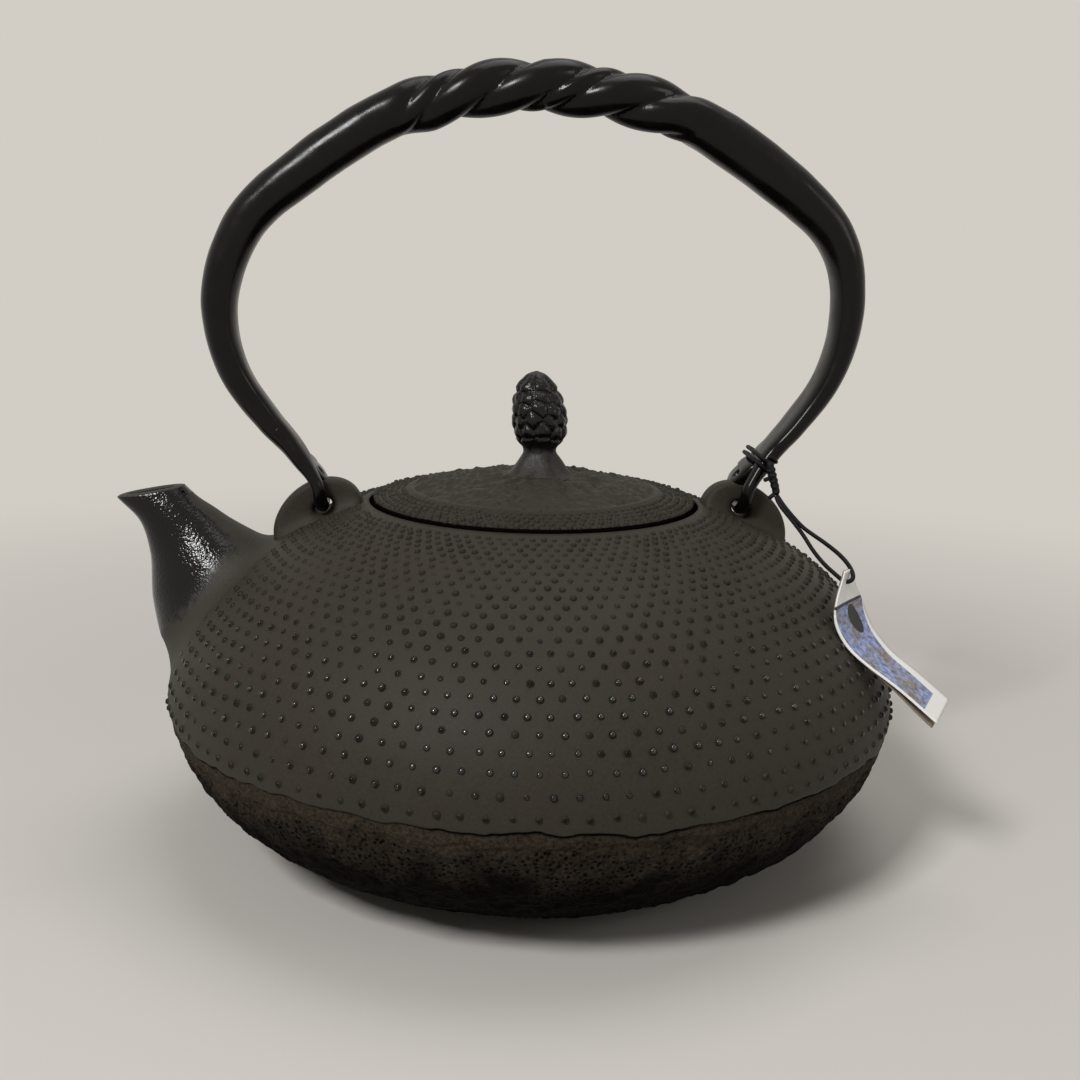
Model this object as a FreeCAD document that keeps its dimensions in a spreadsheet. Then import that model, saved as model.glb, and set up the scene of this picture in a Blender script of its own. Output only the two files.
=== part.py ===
"""Cast iron teapot: flat-round pot with a flush lid, pine cone knob, twisted bail and hang tag.

Millimetres, +Z up, origin at the centre of the resting face, spout towards -X, bail in the XZ plane.
"""
import FreeCAD, Part
import math
import os
import Sketcher

Vector = FreeCAD.Vector
X_AXIS = Vector(1, 0, 0)
Y_AXIS = Vector(0, 1, 0)
Z_AXIS = Vector(0, 0, 1)

doc = FreeCAD.newDocument("teapot")
sheet = doc.addObject("Spreadsheet::Sheet", "sheet")

SIZES = {
    # pot
    "belly_radius": 92.5, "belly_height": 38.5, "shoulder_rise": 55.2,
    "skirt_radius": 91.3, "bowl_drop": 47.8, "wall": 3.8,
    # mouth
    "mouth_radius": 42.1, "lid_seat_height": 83.4, "strainer_seat_radius": 38.6,
    "strainer_seat_height": 82.0, "throat_radius": 35.6, "collar_radius": 50.0, "collar_bottom": 77.0,
    # ears
    "ear_x": 54.8, "ear_z": 81.6, "ear_radius": 11.8, "ear_thickness": 6.0, "ear_round": 2.0,
    "ear_hole_z": 85.4, "ear_hole_radius": 4.0, "ear_hole_length": 9.0,
    # bail
    "hinge_x": 55.3, "hinge_z": 91.6, "hook_ring_radius": 6.6, "hook_radius": 1.9,
    "eye_radius": 4.1, "hook_gap": 5.5, "hook_gap_top": 2.0, "hook_gap_clear": 1.0, "leg_end_rise": 2.4,
    "grip_half": 32.0, "grip_height": 189.0, "grip_drop": 5.0, "grip_turns": 1.73, "grip_phase": 226.0,
    "thick_lobe_angle": 147.0, "lobe_peak": 6.7, "thin_lobe_peak": 5.7, "lobe_valley": 4.7,
    "bow_x": 78.4, "bow_z": 138.0, "upper_bend_x": 57.3, "upper_bend_z": 169.7,
    "shoulder_bend_x": 73.4, "shoulder_bend_z": 154.6, "lower_bend_x": 74.5, "lower_bend_z": 120.2,
    "leg_x": 60.4, "leg_z": 100.6, "leg_end_x": 55.6, "leg_end_z": 91.0,
    "arm_thickness": 8.9, "bow_thickness": 7.4, "leg_thickness": 4.4,
    "arm_depth": 11.0, "bow_depth": 14.0, "leg_depth": 13.0, "arm_edge_round": 1.5,
    "arm_root": 8.0, "arm_root_scale": 0.7,
    # spout
    "spout_wall": 2.8,
    # lid
    "lid_gap": 0.6, "lid_edge_height": 87.5, "lid_top": 94.6, "knob_seat": 8.6, "lid_dome": 130.0,
    "flange_radius": 32.0, "flange_thickness": 3.0, "flange_bottom": 76.5,
    "lid_hollow_top": 90.0, "lid_hole_radius": 2.6, "lid_boss": 7.5, "lid_hollow_edge": 84.2,
    # knob
    "knob_foot": 7.6, "knob_neck": 3.7, "knob_neck_height": 100.2, "knob_low_radius": 6.2,
    "knob_low_height": 103.0, "knob_radius": 6.9, "knob_belly_height": 108.5, "knob_top": 120.7,
    "knob_tip_radius": 4.2, "knob_tip_height": 117.6, "knob_tip_flat": 0.6,
    "knob_neck_round": 7.0, "knob_low_round": 16.0, "knob_side_round": 20.0, "knob_tip_round": 4.6,
    "knob_foot_edge": 1.0, "tenon_radius": 2.5, "peen_radius": 4.0, "peen_height": 1.2,
    "washer_radius": 6.5, "washer_thickness": 1.2,
    # strainer
    "strainer_rim_radius": 38.2, "strainer_rim_thickness": 1.1, "strainer_collar_thickness": 1.0,
    "strainer_collar_drop": 5.0, "strainer_radius": 33.4, "strainer_foot_radius": 30.6,
    "strainer_bottom": 30.0, "mesh_thickness": 0.6, "strainer_cup_wall": 0.8, "strainer_cup_lip": 3.5,
    "cup_flare": 0.2,
    # cord and tag
    "cord_diameter": 1.3, "hitch_turns": 2.25, "hitch_pitch": 1.9, "hitch_clear": 0.7,
    "hitch_x": 59.4, "hitch_z": 99.1,
    "knot_width": 4.0, "knot_length": 8.4, "knot_round": 1.9, "knot_lean": -8.0, "tail_length": 4.5,
    "tag_width": 16.0, "tag_thickness": 0.9, "tag_turn": -29.0, "tag_hole_radius": 1.5, "tag_hole_inset": 2.7,
}
# Spout stations: centre x and z, length in the XZ plane, width along Y, lean of the section from level
SPOUT_STATIONS = {
    "root": (-66.0, 55.0, 50.0, 42.0, 52.0),
    "swell": (-80.2, 64.4, 40.2, 33.0, 45.5),
    "throat": (-86.8, 71.4, 28.8, 24.0, 45.0),
    "neck": (-89.6, 79.2, 19.2, 16.8, 36.0),
    "beak": (-93.0, 85.0, 15.2, 13.6, 25.0),
    "lip": (-96.3, 89.4, 17.0, 13.2, 12.0),
    "inlet": (-58.0, 51.0, 40.0, 34.0, 52.0),
    "outlet": (-97.2, 93.4, 19.4, 15.2, 12.0),
}
SPOUT_RUN = ("swell", "throat", "neck", "beak", "lip")
for station, figures in SPOUT_STATIONS.items():
    for part, figure in zip(("x", "z", "length", "width", "lean"), figures):
        SIZES["spout_%s_%s" % (station, part)] = figure

for row, (alias, number) in enumerate(SIZES.items(), start=1):
    sheet.set("A%d" % row, alias)
    sheet.set("B%d" % row, str(number))
    sheet.setAlias("B%d" % row, alias)
doc.recompute()

sub_parts = []


class Size:
    """A length together with its expression on the sheet, so that a point is bound where it is placed."""

    def __init__(self, text, number):
        self.text = text
        self.number = number

    def __add__(self, other):
        return Size("(%s + %s)" % (self.text, other.text), self.number + other.number)

    def __sub__(self, other):
        return Size("(%s - %s)" % (self.text, other.text), self.number - other.number)


def size(alias):
    """The sheet's cell of that name as a Size."""
    return Size("sheet." + alias, SIZES[alias])


def value(alias):
    """The number that the sheet holds under that name."""
    return float(sheet.get(alias))


ZERO = Size("0", 0.0)
# Which way an arc of an outline swells: out of the solid or into it
ROUND = 1
HOLLOW = -1


def bind(feature, **properties):
    """Bind each property to an expression; two underscores stand for a dot in its name."""
    for name, text in properties.items():
        feature.setExpression(name.replace("__", "."), text)
    return feature


def add(kind, name, **properties):
    """A new document object of that kind with its sizes bound to the sheet."""
    return bind(doc.addObject(kind, name), **properties)


def joined(name, shapes):
    """One solid from several."""
    fuse = doc.addObject("Part::MultiFuse", name)
    fuse.Shapes = shapes
    return fuse


def cut(name, base, tool):
    """The base with the tool's space taken out."""
    result = doc.addObject("Part::Cut", name)
    result.Base = base
    result.Tool = tool
    return result


def finish(feature, label):
    """Name a finished sub-part."""
    feature.Label = label
    sub_parts.append(feature)
    return feature


def arc_between(start, end, radius):
    """Arc from start to end, to the left where radius is positive, as counter-clockwise circle geometry."""
    chord = end - start
    left = Vector(-chord.y, chord.x, 0).normalize()
    reach = math.sqrt(radius * radius - chord.Length * chord.Length / 4)
    side = 1 if radius > 0 else -1
    centre = (start + end) * 0.5 + left * reach * side
    first, last = (start, end) if radius > 0 else (end, start)
    angles = [math.atan2(p.y - centre.y, p.x - centre.x) for p in (first, last)]
    if angles[1] < angles[0]:
        angles[1] += 2 * math.pi
    return Part.ArcOfCircle(Part.Circle(centre, Z_AXIS, abs(radius)), angles[0], angles[1])


def revolved(label, corners):
    """A turned body: a closed XZ outline spun about Z.

    A corner is (x, z), or (x, z, radius, bulge) where an arc leads to it, with bulge ROUND or HOLLOW.
    """
    body = doc.addObject("PartDesign::Body", label + "_body")
    sketch = body.newObject("Sketcher::SketchObject", label + "_outline")
    plane = [f for f in body.Origin.OriginFeatures if f.Role == "XZ_Plane"][0]
    sketch.AttachmentSupport = [(plane, "")]
    sketch.MapMode = "FlatFace"
    spots = [Vector(corner[0].number, corner[1].number, 0) for corner in corners]
    ends = []
    for index, corner in enumerate(corners):
        start, end = spots[index - 1], spots[index]
        bulge = corner[3] if len(corner) > 2 else ROUND
        arc = len(corner) > 2
        edge = arc_between(start, end, bulge * corner[2].number) if arc else Part.LineSegment(start, end)
        sketch.addGeometry(edge, False)
        ends.append((1, 2) if bulge == ROUND else (2, 1))
    count = len(corners)
    for index, corner in enumerate(corners):
        after = (index + 1) % count
        sketch.addConstraint(Sketcher.Constraint("Coincident", index, ends[index][1], after, ends[after][0]))
        for kind, axis, length in (("DistanceX", -2, corner[0]), ("DistanceY", -1, corner[1])):
            if length.number == 0:
                sketch.addConstraint(Sketcher.Constraint("PointOnObject", index, ends[index][1], axis))
                continue
            made = sketch.addConstraint(
                Sketcher.Constraint(kind, -1, 1, index, ends[index][1], length.number))
            sketch.setExpression("Constraints[%d]" % made, length.text)
        if len(corner) > 2:
            made = sketch.addConstraint(Sketcher.Constraint("Radius", index, corner[2].number))
            sketch.setExpression("Constraints[%d]" % made, corner[2].text)
    turn = body.newObject("PartDesign::Revolution", label + "_turn")
    turn.Profile = sketch
    turn.ReferenceAxis = (sketch, ["V_Axis"])
    turn.Angle = 360
    return finish(body, label)


# Pot: upper dome, lower bowl, spout and ears in one casting
def half_ellipsoid(name, radius, height, low, high):
    """Dome or bowl about Z whose flat side lies at the belly."""
    shape = add("Part::Ellipsoid", name, Radius1=height, Radius2=radius, Radius3=radius,
                Placement__Base__z="sheet.belly_height")
    shape.Angle1 = low
    shape.Angle2 = high
    return shape


def cylinder(name, radius, bottom, height):
    """Upright cylinder about Z."""
    return add("Part::Cylinder", name, Radius=radius, Height=height, Placement__Base__z=bottom)


def across(name, radius, length, x, z):
    """Cylinder along Y, centred on the XZ plane."""
    shape = add("Part::Cylinder", name, Radius=radius, Height=length)
    shape.Placement = FreeCAD.Placement(Vector(), FreeCAD.Rotation(X_AXIS, -90))
    return bind(shape, Placement__Base__x=x, Placement__Base__y="-0.5 * (%s)" % length, Placement__Base__z=z)


def floor_block(name, top):
    """Block that fills everything below a height."""
    return add("Part::Box", name, Length="4 * sheet.belly_radius", Width="4 * sheet.belly_radius",
               Height="2 * sheet.belly_radius", Placement__Base__x="-2 * sheet.belly_radius",
               Placement__Base__y="-2 * sheet.belly_radius",
               Placement__Base__z="%s - 2 * sheet.belly_radius" % top)


def spout_ring(name, station, inset):
    """Ellipse of one spout station, smaller all round by the inset; its long axis lies in the XZ plane."""
    ring = doc.addObject("Part::Ellipse", name)
    lean = FreeCAD.Rotation(Y_AXIS, -value("spout_%s_lean" % station))
    ring.Placement = FreeCAD.Placement(Vector(), lean)
    return bind(ring, MajorRadius="sheet.spout_%s_length / 2 - %s" % (station, inset),
                MinorRadius="sheet.spout_%s_width / 2 - %s" % (station, inset),
                Placement__Base__x="sheet.spout_%s_x" % station,
                Placement__Base__z="sheet.spout_%s_z" % station)


def spout_loft(name, stations, inset):
    """Smooth solid through the ellipses of those stations."""
    loft = doc.addObject("Part::Loft", name)
    loft.Sections = [spout_ring("%s_%s" % (name, station), station, inset) for station in stations]
    loft.Solid = True
    return loft


def kettle_body():
    """The casting: dome, bowl, spout and ears, less its hollow, mouth, spout bore and ear holes."""
    dome = half_ellipsoid("dome", "sheet.belly_radius", "sheet.shoulder_rise", 0, 90)
    bowl = half_ellipsoid("bowl", "sheet.skirt_radius", "sheet.bowl_drop", -90, 0)
    standing = cut("standing_bowl", bowl, floor_block("below_foot", "0"))
    spout = spout_loft("spout", ("root",) + SPOUT_RUN, "0")
    ears = []
    holes = []
    for side, name in ((-1, "left"), (1, "right")):
        disc = across(name + "_ear", "sheet.ear_radius", "sheet.ear_thickness",
                      "%d * sheet.ear_x" % side, "sheet.ear_z")
        doc.recompute()
        rounded = doc.addObject("Part::Fillet", name + "_ear_round")
        rounded.Base = disc
        rims = [i for i, e in enumerate(disc.Shape.Edges, start=1) if e.Curve.TypeId == "Part::GeomCircle"]
        rounded.Edges = [(i, value("ear_round"), value("ear_round")) for i in rims]
        ears.append(rounded)
        holes.append(across(name + "_ear_hole", "sheet.ear_hole_radius", "sheet.ear_hole_length",
                            "%d * sheet.hinge_x" % side, "sheet.ear_hole_z"))
    outside = joined("pot_outside", [dome, standing, spout] + ears)

    inner_dome = half_ellipsoid("inner_dome", "sheet.belly_radius - sheet.wall",
                                "sheet.shoulder_rise - sheet.wall", 0, 90)
    inner_bowl = half_ellipsoid("inner_bowl", "sheet.skirt_radius - sheet.wall",
                                "sheet.bowl_drop - sheet.wall", -90, 0)
    level_bowl = cut("level_bowl", inner_bowl, floor_block("below_floor", "sheet.wall"))
    collar = cylinder("collar", "sheet.collar_radius", "sheet.collar_bottom", "sheet.shoulder_rise")
    hollow = cut("hollow", joined("plain_hollow", [inner_dome, level_bowl]), collar)
    throat = cylinder("throat", "sheet.throat_radius", "sheet.collar_bottom - sheet.wall",
                      "sheet.shoulder_rise")
    strainer_seat = cylinder("strainer_seat", "sheet.strainer_seat_radius", "sheet.strainer_seat_height",
                             "sheet.shoulder_rise")
    lid_seat = cylinder("lid_seat", "sheet.mouth_radius", "sheet.lid_seat_height", "sheet.shoulder_rise")
    bore = spout_loft("spout_bore", ("inlet",) + SPOUT_RUN + ("outlet",), "sheet.spout_wall")
    spaces = joined("pot_spaces", [hollow, throat, strainer_seat, lid_seat, bore] + holes)
    return finish(cut("pot", outside, spaces), "kettle_body")


# Lid, knob and washer
def lid():
    """Flush disc with a dome, a hollow underside and a locating flange."""
    edge = size("mouth_radius") - size("lid_gap")
    inner_flange = size("flange_radius") - size("flange_thickness")
    revolved("lid", [
        (size("lid_hole_radius"), size("lid_hollow_top")),
        (size("lid_boss"), size("lid_hollow_top")),
        (inner_flange, size("lid_hollow_edge")),
        (inner_flange, size("flange_bottom")),
        (size("flange_radius"), size("flange_bottom")),
        (size("flange_radius"), size("lid_seat_height")),
        (edge, size("lid_seat_height")),
        (edge, size("lid_edge_height")),
        (size("knob_seat"), size("lid_top"), size("lid_dome"), ROUND),
        (size("lid_hole_radius"), size("lid_top")),
    ])


def lid_knob():
    """Pine cone on a flared foot, with a tenon through the lid that is peened over the washer."""
    washer_bottom = size("lid_hollow_top") - size("washer_thickness")
    foot_edge = size("lid_top") + size("knob_foot_edge")
    revolved("lid_knob", [
        (ZERO, washer_bottom - size("peen_height")),
        (size("peen_radius"), washer_bottom - size("peen_height")),
        (size("peen_radius"), washer_bottom),
        (size("tenon_radius"), washer_bottom),
        (size("tenon_radius"), size("lid_top")),
        (size("knob_foot"), size("lid_top")),
        (size("knob_foot"), foot_edge),
        (size("knob_neck"), size("knob_neck_height"), size("knob_neck_round"), HOLLOW),
        (size("knob_low_radius"), size("knob_low_height")),
        (size("knob_radius"), size("knob_belly_height"), size("knob_low_round"), ROUND),
        (size("knob_tip_radius"), size("knob_tip_height"), size("knob_side_round"), ROUND),
        (size("knob_tip_flat"), size("knob_top"), size("knob_tip_round"), ROUND),
        (ZERO, size("knob_top")),
    ])


def knob_washer():
    """Plain washer under the lid."""
    revolved("knob_washer", [
        (size("lid_hole_radius"), size("lid_hollow_top") - size("washer_thickness")),
        (size("washer_radius"), size("lid_hollow_top") - size("washer_thickness")),
        (size("washer_radius"), size("lid_hollow_top")),
        (size("lid_hole_radius"), size("lid_hollow_top")),
    ])


# Strainer: rim that hangs in the mouth, mesh wall and crimped base
def strainer():
    """Three pieces of the tea strainer."""
    seat = size("strainer_seat_height")
    collar_outer = size("strainer_radius") + size("strainer_collar_thickness")
    collar_bottom = seat - size("strainer_collar_drop")
    revolved("strainer_rim", [
        (size("strainer_radius"), collar_bottom),
        (collar_outer, collar_bottom),
        (collar_outer, seat),
        (size("strainer_rim_radius"), seat),
        (size("strainer_rim_radius"), seat + size("strainer_rim_thickness")),
        (size("strainer_radius"), seat + size("strainer_rim_thickness")),
    ])
    revolved("strainer_mesh", [
        (size("strainer_radius") - size("mesh_thickness"), seat),
        (size("strainer_radius") - size("mesh_thickness"), collar_bottom),
        (size("strainer_foot_radius") - size("mesh_thickness"), size("strainer_bottom")),
        (size("strainer_foot_radius"), size("strainer_bottom")),
        (size("strainer_radius"), collar_bottom),
        (size("strainer_radius"), seat),
    ])
    cup_outer = size("strainer_foot_radius") + size("strainer_cup_wall")
    cup_top = size("strainer_bottom") + size("strainer_cup_lip")
    revolved("strainer_base", [
        (ZERO, size("strainer_bottom")),
        (ZERO, size("strainer_bottom") - size("strainer_cup_wall")),
        (cup_outer, size("strainer_bottom") - size("strainer_cup_wall")),
        (cup_outer + size("cup_flare"), cup_top),
        (size("strainer_foot_radius") + size("cup_flare"), cup_top),
        (size("strainer_foot_radius"), size("strainer_bottom")),
    ])


# Bail: two D-section arms, a twisted grip and an eye at each end that hooks through an ear
ARM_STATIONS = 15
GRIP_STATIONS = 27


def arm_path():
    """Centre line of the right arm from inside the grip to the hook's eye."""
    names = ("upper_bend", "shoulder_bend", "bow", "lower_bend", "leg", "leg_end")
    root = value("arm_root")
    points = [Vector(value("grip_half") - root, 0, value("grip_height") - value("grip_drop") + root / 2)]
    points += [Vector(value(n + "_x"), 0, value(n + "_z")) for n in names]
    path = Part.BSplineCurve()
    path.interpolate(points)
    return path


def between(first, middle, last, share):
    """Quadratic through three values at the start, the middle and the end."""
    return (first * (1 - share) * (1 - 2 * share) + middle * 4 * share * (1 - share)
            + last * share * (2 * share - 1))


def d_section(centre, along, thickness, depth):
    """D outline square to the path: flat inner face, rounded edges and an arched outer face."""
    outward = along.cross(Y_AXIS).normalize()
    edge = value("arm_edge_round")
    half = depth / 2
    low = -thickness / 2

    def at(y, n):
        return centre + Y_AXIS * y + outward * n

    corner = edge * (1 - math.sqrt(0.5))
    return Part.Wire([
        Part.LineSegment(at(edge - half, low), at(half - edge, low)).toShape(),
        Part.Arc(at(half - edge, low), at(half - corner, low + corner), at(half, low + edge)).toShape(),
        Part.Arc(at(half, low + edge), at(0, thickness / 2), at(-half, low + edge)).toShape(),
        Part.Arc(at(-half, low + edge), at(corner - half, low + corner), at(edge - half, low)).toShape(),
    ])


def right_arm():
    """Loft of D sections along the arm."""
    path = arm_path()
    wires = []
    for index in range(ARM_STATIONS):
        share = index / (ARM_STATIONS - 1)
        spot = path.parameterAtDistance(share * path.length(), path.FirstParameter)
        along = Vector(*path.tangent(spot)[0])
        thickness = between(value("arm_thickness"), value("bow_thickness"), value("leg_thickness"), share)
        depth = between(value("arm_depth"), value("bow_depth"), value("leg_depth"), share)
        swell = value("arm_root_scale") if index == 0 else 1
        wires.append(d_section(path.value(spot), along, thickness * swell, depth * swell))
    return Part.makeLoft(wires, True, False)


def lobe_section(centre, along, turn):
    """Outline of two thick lobes and a thin one, turned about the grip's line."""
    side = Y_AXIS
    up = along.cross(side).normalize()
    thick = math.radians(value("thick_lobe_angle"))
    valleys = (turn, turn + thick, turn + 2 * thick, turn + 2 * math.pi)
    peaks = (value("lobe_peak"), value("lobe_peak"), value("thin_lobe_peak"))

    def at(angle, radius):
        return centre + side * (radius * math.cos(angle)) + up * (radius * math.sin(angle))

    edges = []
    for first, last, peak in zip(valleys, valleys[1:], peaks):
        middle = (first + last) / 2
        edges.append(Part.Arc(at(first, value("lobe_valley")), at(middle, peak),
                              at(last, value("lobe_valley"))).toShape())
    return Part.Wire(edges)


def twisted_grip():
    """Loft of lobed sections that turn along a shallow arch."""
    half, drop = value("grip_half"), value("grip_drop")
    bend = (half * half + drop * drop) / (2 * drop)
    centre = Vector(0, 0, value("grip_height") - bend)
    sweep = math.asin(half / bend)
    wires = []
    for index in range(GRIP_STATIONS):
        share = index / (GRIP_STATIONS - 1)
        angle = sweep * (2 * share - 1)
        spot = centre + Vector(math.sin(angle), 0, math.cos(angle)) * bend
        along = Vector(math.cos(angle), 0, -math.sin(angle))
        turn = math.radians(value("grip_phase")) - 2 * math.pi * value("grip_turns") * share
        wires.append(lobe_section(spot, along, turn))
    return Part.makeLoft(wires, True, False)


def bail_handle():
    """Arms, grip and the two hooks in one piece; each hook's eye goes round the top of an ear."""
    pivot = Vector(value("hinge_x"), 0, value("hinge_z"))
    ring, bar = value("hook_ring_radius"), value("hook_radius")
    reach = 3 * ring
    leg = right_arm()
    eye = Part.makeCylinder(value("eye_radius"), 2 * reach, pivot - X_AXIS * reach, X_AXIS)
    below_corner = Vector(-reach, -reach, value("leg_end_rise") - reach)
    below = Part.makeBox(2 * reach, 2 * reach, reach, pivot + below_corner)
    hook = Part.makeTorus(ring, bar, pivot, X_AXIS)
    half_gap = bar + value("hook_gap_clear")
    gap_corner = Vector(-half_gap, ring - half_gap, value("hook_gap_top") - value("hook_gap"))
    gap = Part.makeBox(2 * half_gap, 2 * half_gap, value("hook_gap"), pivot + gap_corner)
    right = leg.cut(below).fuse(hook).cut(eye).cut(gap)
    left = right.mirror(Vector(), X_AXIS)
    whole = twisted_grip().fuse([right, left])
    feature = doc.addObject("Part::Feature", "bail")
    feature.Shape = whole.removeSplitter()
    return finish(feature, "bail_handle")


# Cord and tag
# Share of the shorter run that the arc at a corner takes up
CORNER_SHARE = 0.45


def rounded_route(points):
    """Straight runs joined by tangent arcs, each as large as its two runs allow; returns wire and radii."""
    edges = []
    radii = []
    here = points[0]
    for before, corner, after in zip(points, points[1:], points[2:]):
        run_in, run_out = corner - before, after - corner
        turn = run_in.getAngle(run_out)
        trim = CORNER_SHARE * min(run_in.Length, run_out.Length)
        radii.append(trim / math.tan(turn / 2))
        start = corner - run_in.normalize() * trim
        end = corner + run_out.normalize() * trim
        to_centre = (run_out - run_in).normalize()
        middle = corner + to_centre * radii[-1] * (1 / math.cos(turn / 2) - 1)
        edges.append(Part.LineSegment(here, start).toShape())
        edges.append(Part.Arc(start, middle, end).toShape())
        here = end
    edges.append(Part.LineSegment(here, points[-1]).toShape())
    return Part.Wire(edges), radii


def tube(label, points):
    """Round cord along a route, with its radii, length and volume printed."""
    wire, radii = rounded_route(points)
    start = wire.Edges[0]
    along = start.tangentAt(start.FirstParameter)
    ring = Part.Wire(Part.Circle(points[0], along, value("cord_diameter") / 2).toShape())
    shape = wire.makePipeShell([ring], True, False)
    section = math.pi * value("cord_diameter") ** 2 / 4
    ratio = shape.Volume / (section * wire.Length)
    print("%s: length %.1f mm, volume ratio %.4f" % (label, wire.Length, ratio))
    print("  bend radii, mm:", " ".join("%.1f" % r for r in radii))
    feature = doc.addObject("Part::Feature", label + "_tube")
    feature.Shape = shape
    finish(feature, label)
    return wire


def self_gap(wire, diameter):
    """Least clear distance between stretches of one winding, measured on points along it."""
    step = diameter / 3
    points = wire.discretize(Distance=step)
    apart = round(3 * diameter / step)
    pairs = [(a, b) for i, a in enumerate(points) for b in points[i + apart:]]
    return min((a - b).Length for a, b in pairs) - diameter


def cord_hitch():
    """Cord wound round the right leg, square to it; each corner of a turn climbs a quarter of the pitch."""
    path = arm_path()
    spot = path.parameter(Vector(value("hitch_x"), 0, value("hitch_z")))
    centre = path.value(spot)
    along = Vector(*path.tangent(spot)[0])
    outward = Y_AXIS.cross(along).normalize()
    half_thickness = value("leg_thickness") / 2 + value("hitch_clear") + value("cord_diameter") / 2
    half_depth = value("leg_depth") / 2 + value("hitch_clear") + value("cord_diameter") / 2
    corners = ((1, -1), (1, 1), (-1, 1), (-1, -1))
    quarters = round(4 * value("hitch_turns")) + 1
    points = []
    for quarter in range(quarters):
        n, y = corners[quarter % 4]
        climb = (quarter - quarters / 2) * value("hitch_pitch") / 4
        points.append(centre + outward * (n * half_thickness) + Y_AXIS * (y * half_depth) + along * climb)
    wire = tube("tag_cord_hitch", points)
    print("  least gap between turns, mm: %.2f" % self_gap(wire, value("cord_diameter")))


KNOT = Vector(60.2, -9.7, 94.2)
# Cut tails of the knot: start below its middle, and heading
KNOT_TAILS = ((0.3, Vector(-0.75, -0.1, -0.6)), (-1.6, Vector(-0.75, -0.1, -0.35)))
# Strands from the knot down to the tag's hole and back
CORD_ROUTE = (
    Vector(62.1, -10.2, 89.2), Vector(63.6, -14.0, 86.6), Vector(65.6, -20.0, 84.2),
    Vector(67.6, -26.0, 83.2), Vector(69.7, -31.2, 82.2), Vector(71.3, -36.6, 80.4),
    Vector(72.7, -40.3, 78.3), Vector(70.1, -38.9, 75.5), Vector(67.5, -37.4, 77.1),
    Vector(68.2, -32.4, 77.7), Vector(66.6, -26.6, 79.6), Vector(64.6, -20.6, 82.0),
    Vector(62.4, -14.6, 85.2), Vector(60.3, -10.8, 89.0),
)


def cord_knot():
    """Tight knot below the hitch with two cut tails."""
    width, length = value("knot_width"), value("knot_length")
    barrel = Part.makeCylinder(width / 2, length, Vector(0, 0, -length / 2))
    rims = [e for e in barrel.Edges if e.Curve.TypeId == "Part::GeomCircle"]
    shape = barrel.makeFillet(value("knot_round"), rims)
    cord_radius = value("cord_diameter") / 2
    for lift, heading in KNOT_TAILS:
        tail = Part.makeCylinder(cord_radius, value("tail_length"), Vector(0, 0, lift), heading)
        shape = shape.fuse(tail)
    feature = doc.addObject("Part::Feature", "knot")
    feature.Shape = shape
    feature.Placement = FreeCAD.Placement(KNOT, FreeCAD.Rotation(Y_AXIS, value("knot_lean")))
    return finish(feature, "tag_cord_knot")


OFFSET_TOLERANCE = 0.001
# Line of the tag from its hole to its free end, before it is turned about Z
TAG_LINE = (Vector(79.9, 0, 78.8), Vector(80.9, 0, 68.4), Vector(87.2, 0, 59.0), Vector(104.9, 0, 46.6))


def hang_tag():
    """Folded paper strip that hangs down, bends over the shoulder and stands out from the belly."""
    width, thick = value("tag_width"), value("tag_thickness")
    wire, radii = rounded_route(TAG_LINE)
    print("hang_tag: length %.1f mm, bend radii, mm:" % wire.Length, " ".join("%.1f" % r for r in radii))
    strip = wire.extrude(Y_AXIS * width)
    strip.translate(Y_AXIS * (-width / 2))
    solid = strip.makeOffsetShape(thick, OFFSET_TOLERANCE, fill=True)
    hole_spot = wire.Edges[0].valueAt(value("tag_hole_inset"))
    hole = Part.makeCylinder(value("tag_hole_radius"), 2 * width, hole_spot - X_AXIS * width, X_AXIS)
    feature = doc.addObject("Part::Feature", "tag")
    feature.Shape = solid.cut(hole)
    feature.Placement = FreeCAD.Placement(Vector(), FreeCAD.Rotation(Z_AXIS, value("tag_turn")))
    return finish(feature, "hang_tag")


def main():
    """Build every sub-part, check it and write its file."""
    kettle_body()
    lid()
    lid_knob()
    knob_washer()
    strainer()
    bail_handle()
    cord_hitch()
    cord_knot()
    tube("tag_cord", CORD_ROUTE)
    hang_tag()
    doc.recompute()
    for feature in doc.Objects:
        if "Invalid" in feature.State or "Error" in feature.State:
            raise RuntimeError("%s failed: %s" % (feature.Name, feature.State))
    os.makedirs("parts", exist_ok=True)
    for feature in sub_parts:
        shape = feature.Shape
        if shape.isNull() or not shape.isValid():
            raise RuntimeError("%s has no valid shape" % feature.Label)
        shape.exportStep("parts/%s.step" % feature.Label)
        print("%-16s %9.1f mm3  solids %d" % (feature.Label, shape.Volume, len(shape.Solids)))


main()
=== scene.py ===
"""Cast iron teapot dressed round its CAD frame: surfaces worked out with numpy, finishes from nodes."""
from functools import partial
from types import SimpleNamespace

import bpy
import numpy as np
from mathutils import Matrix, Vector


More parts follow.
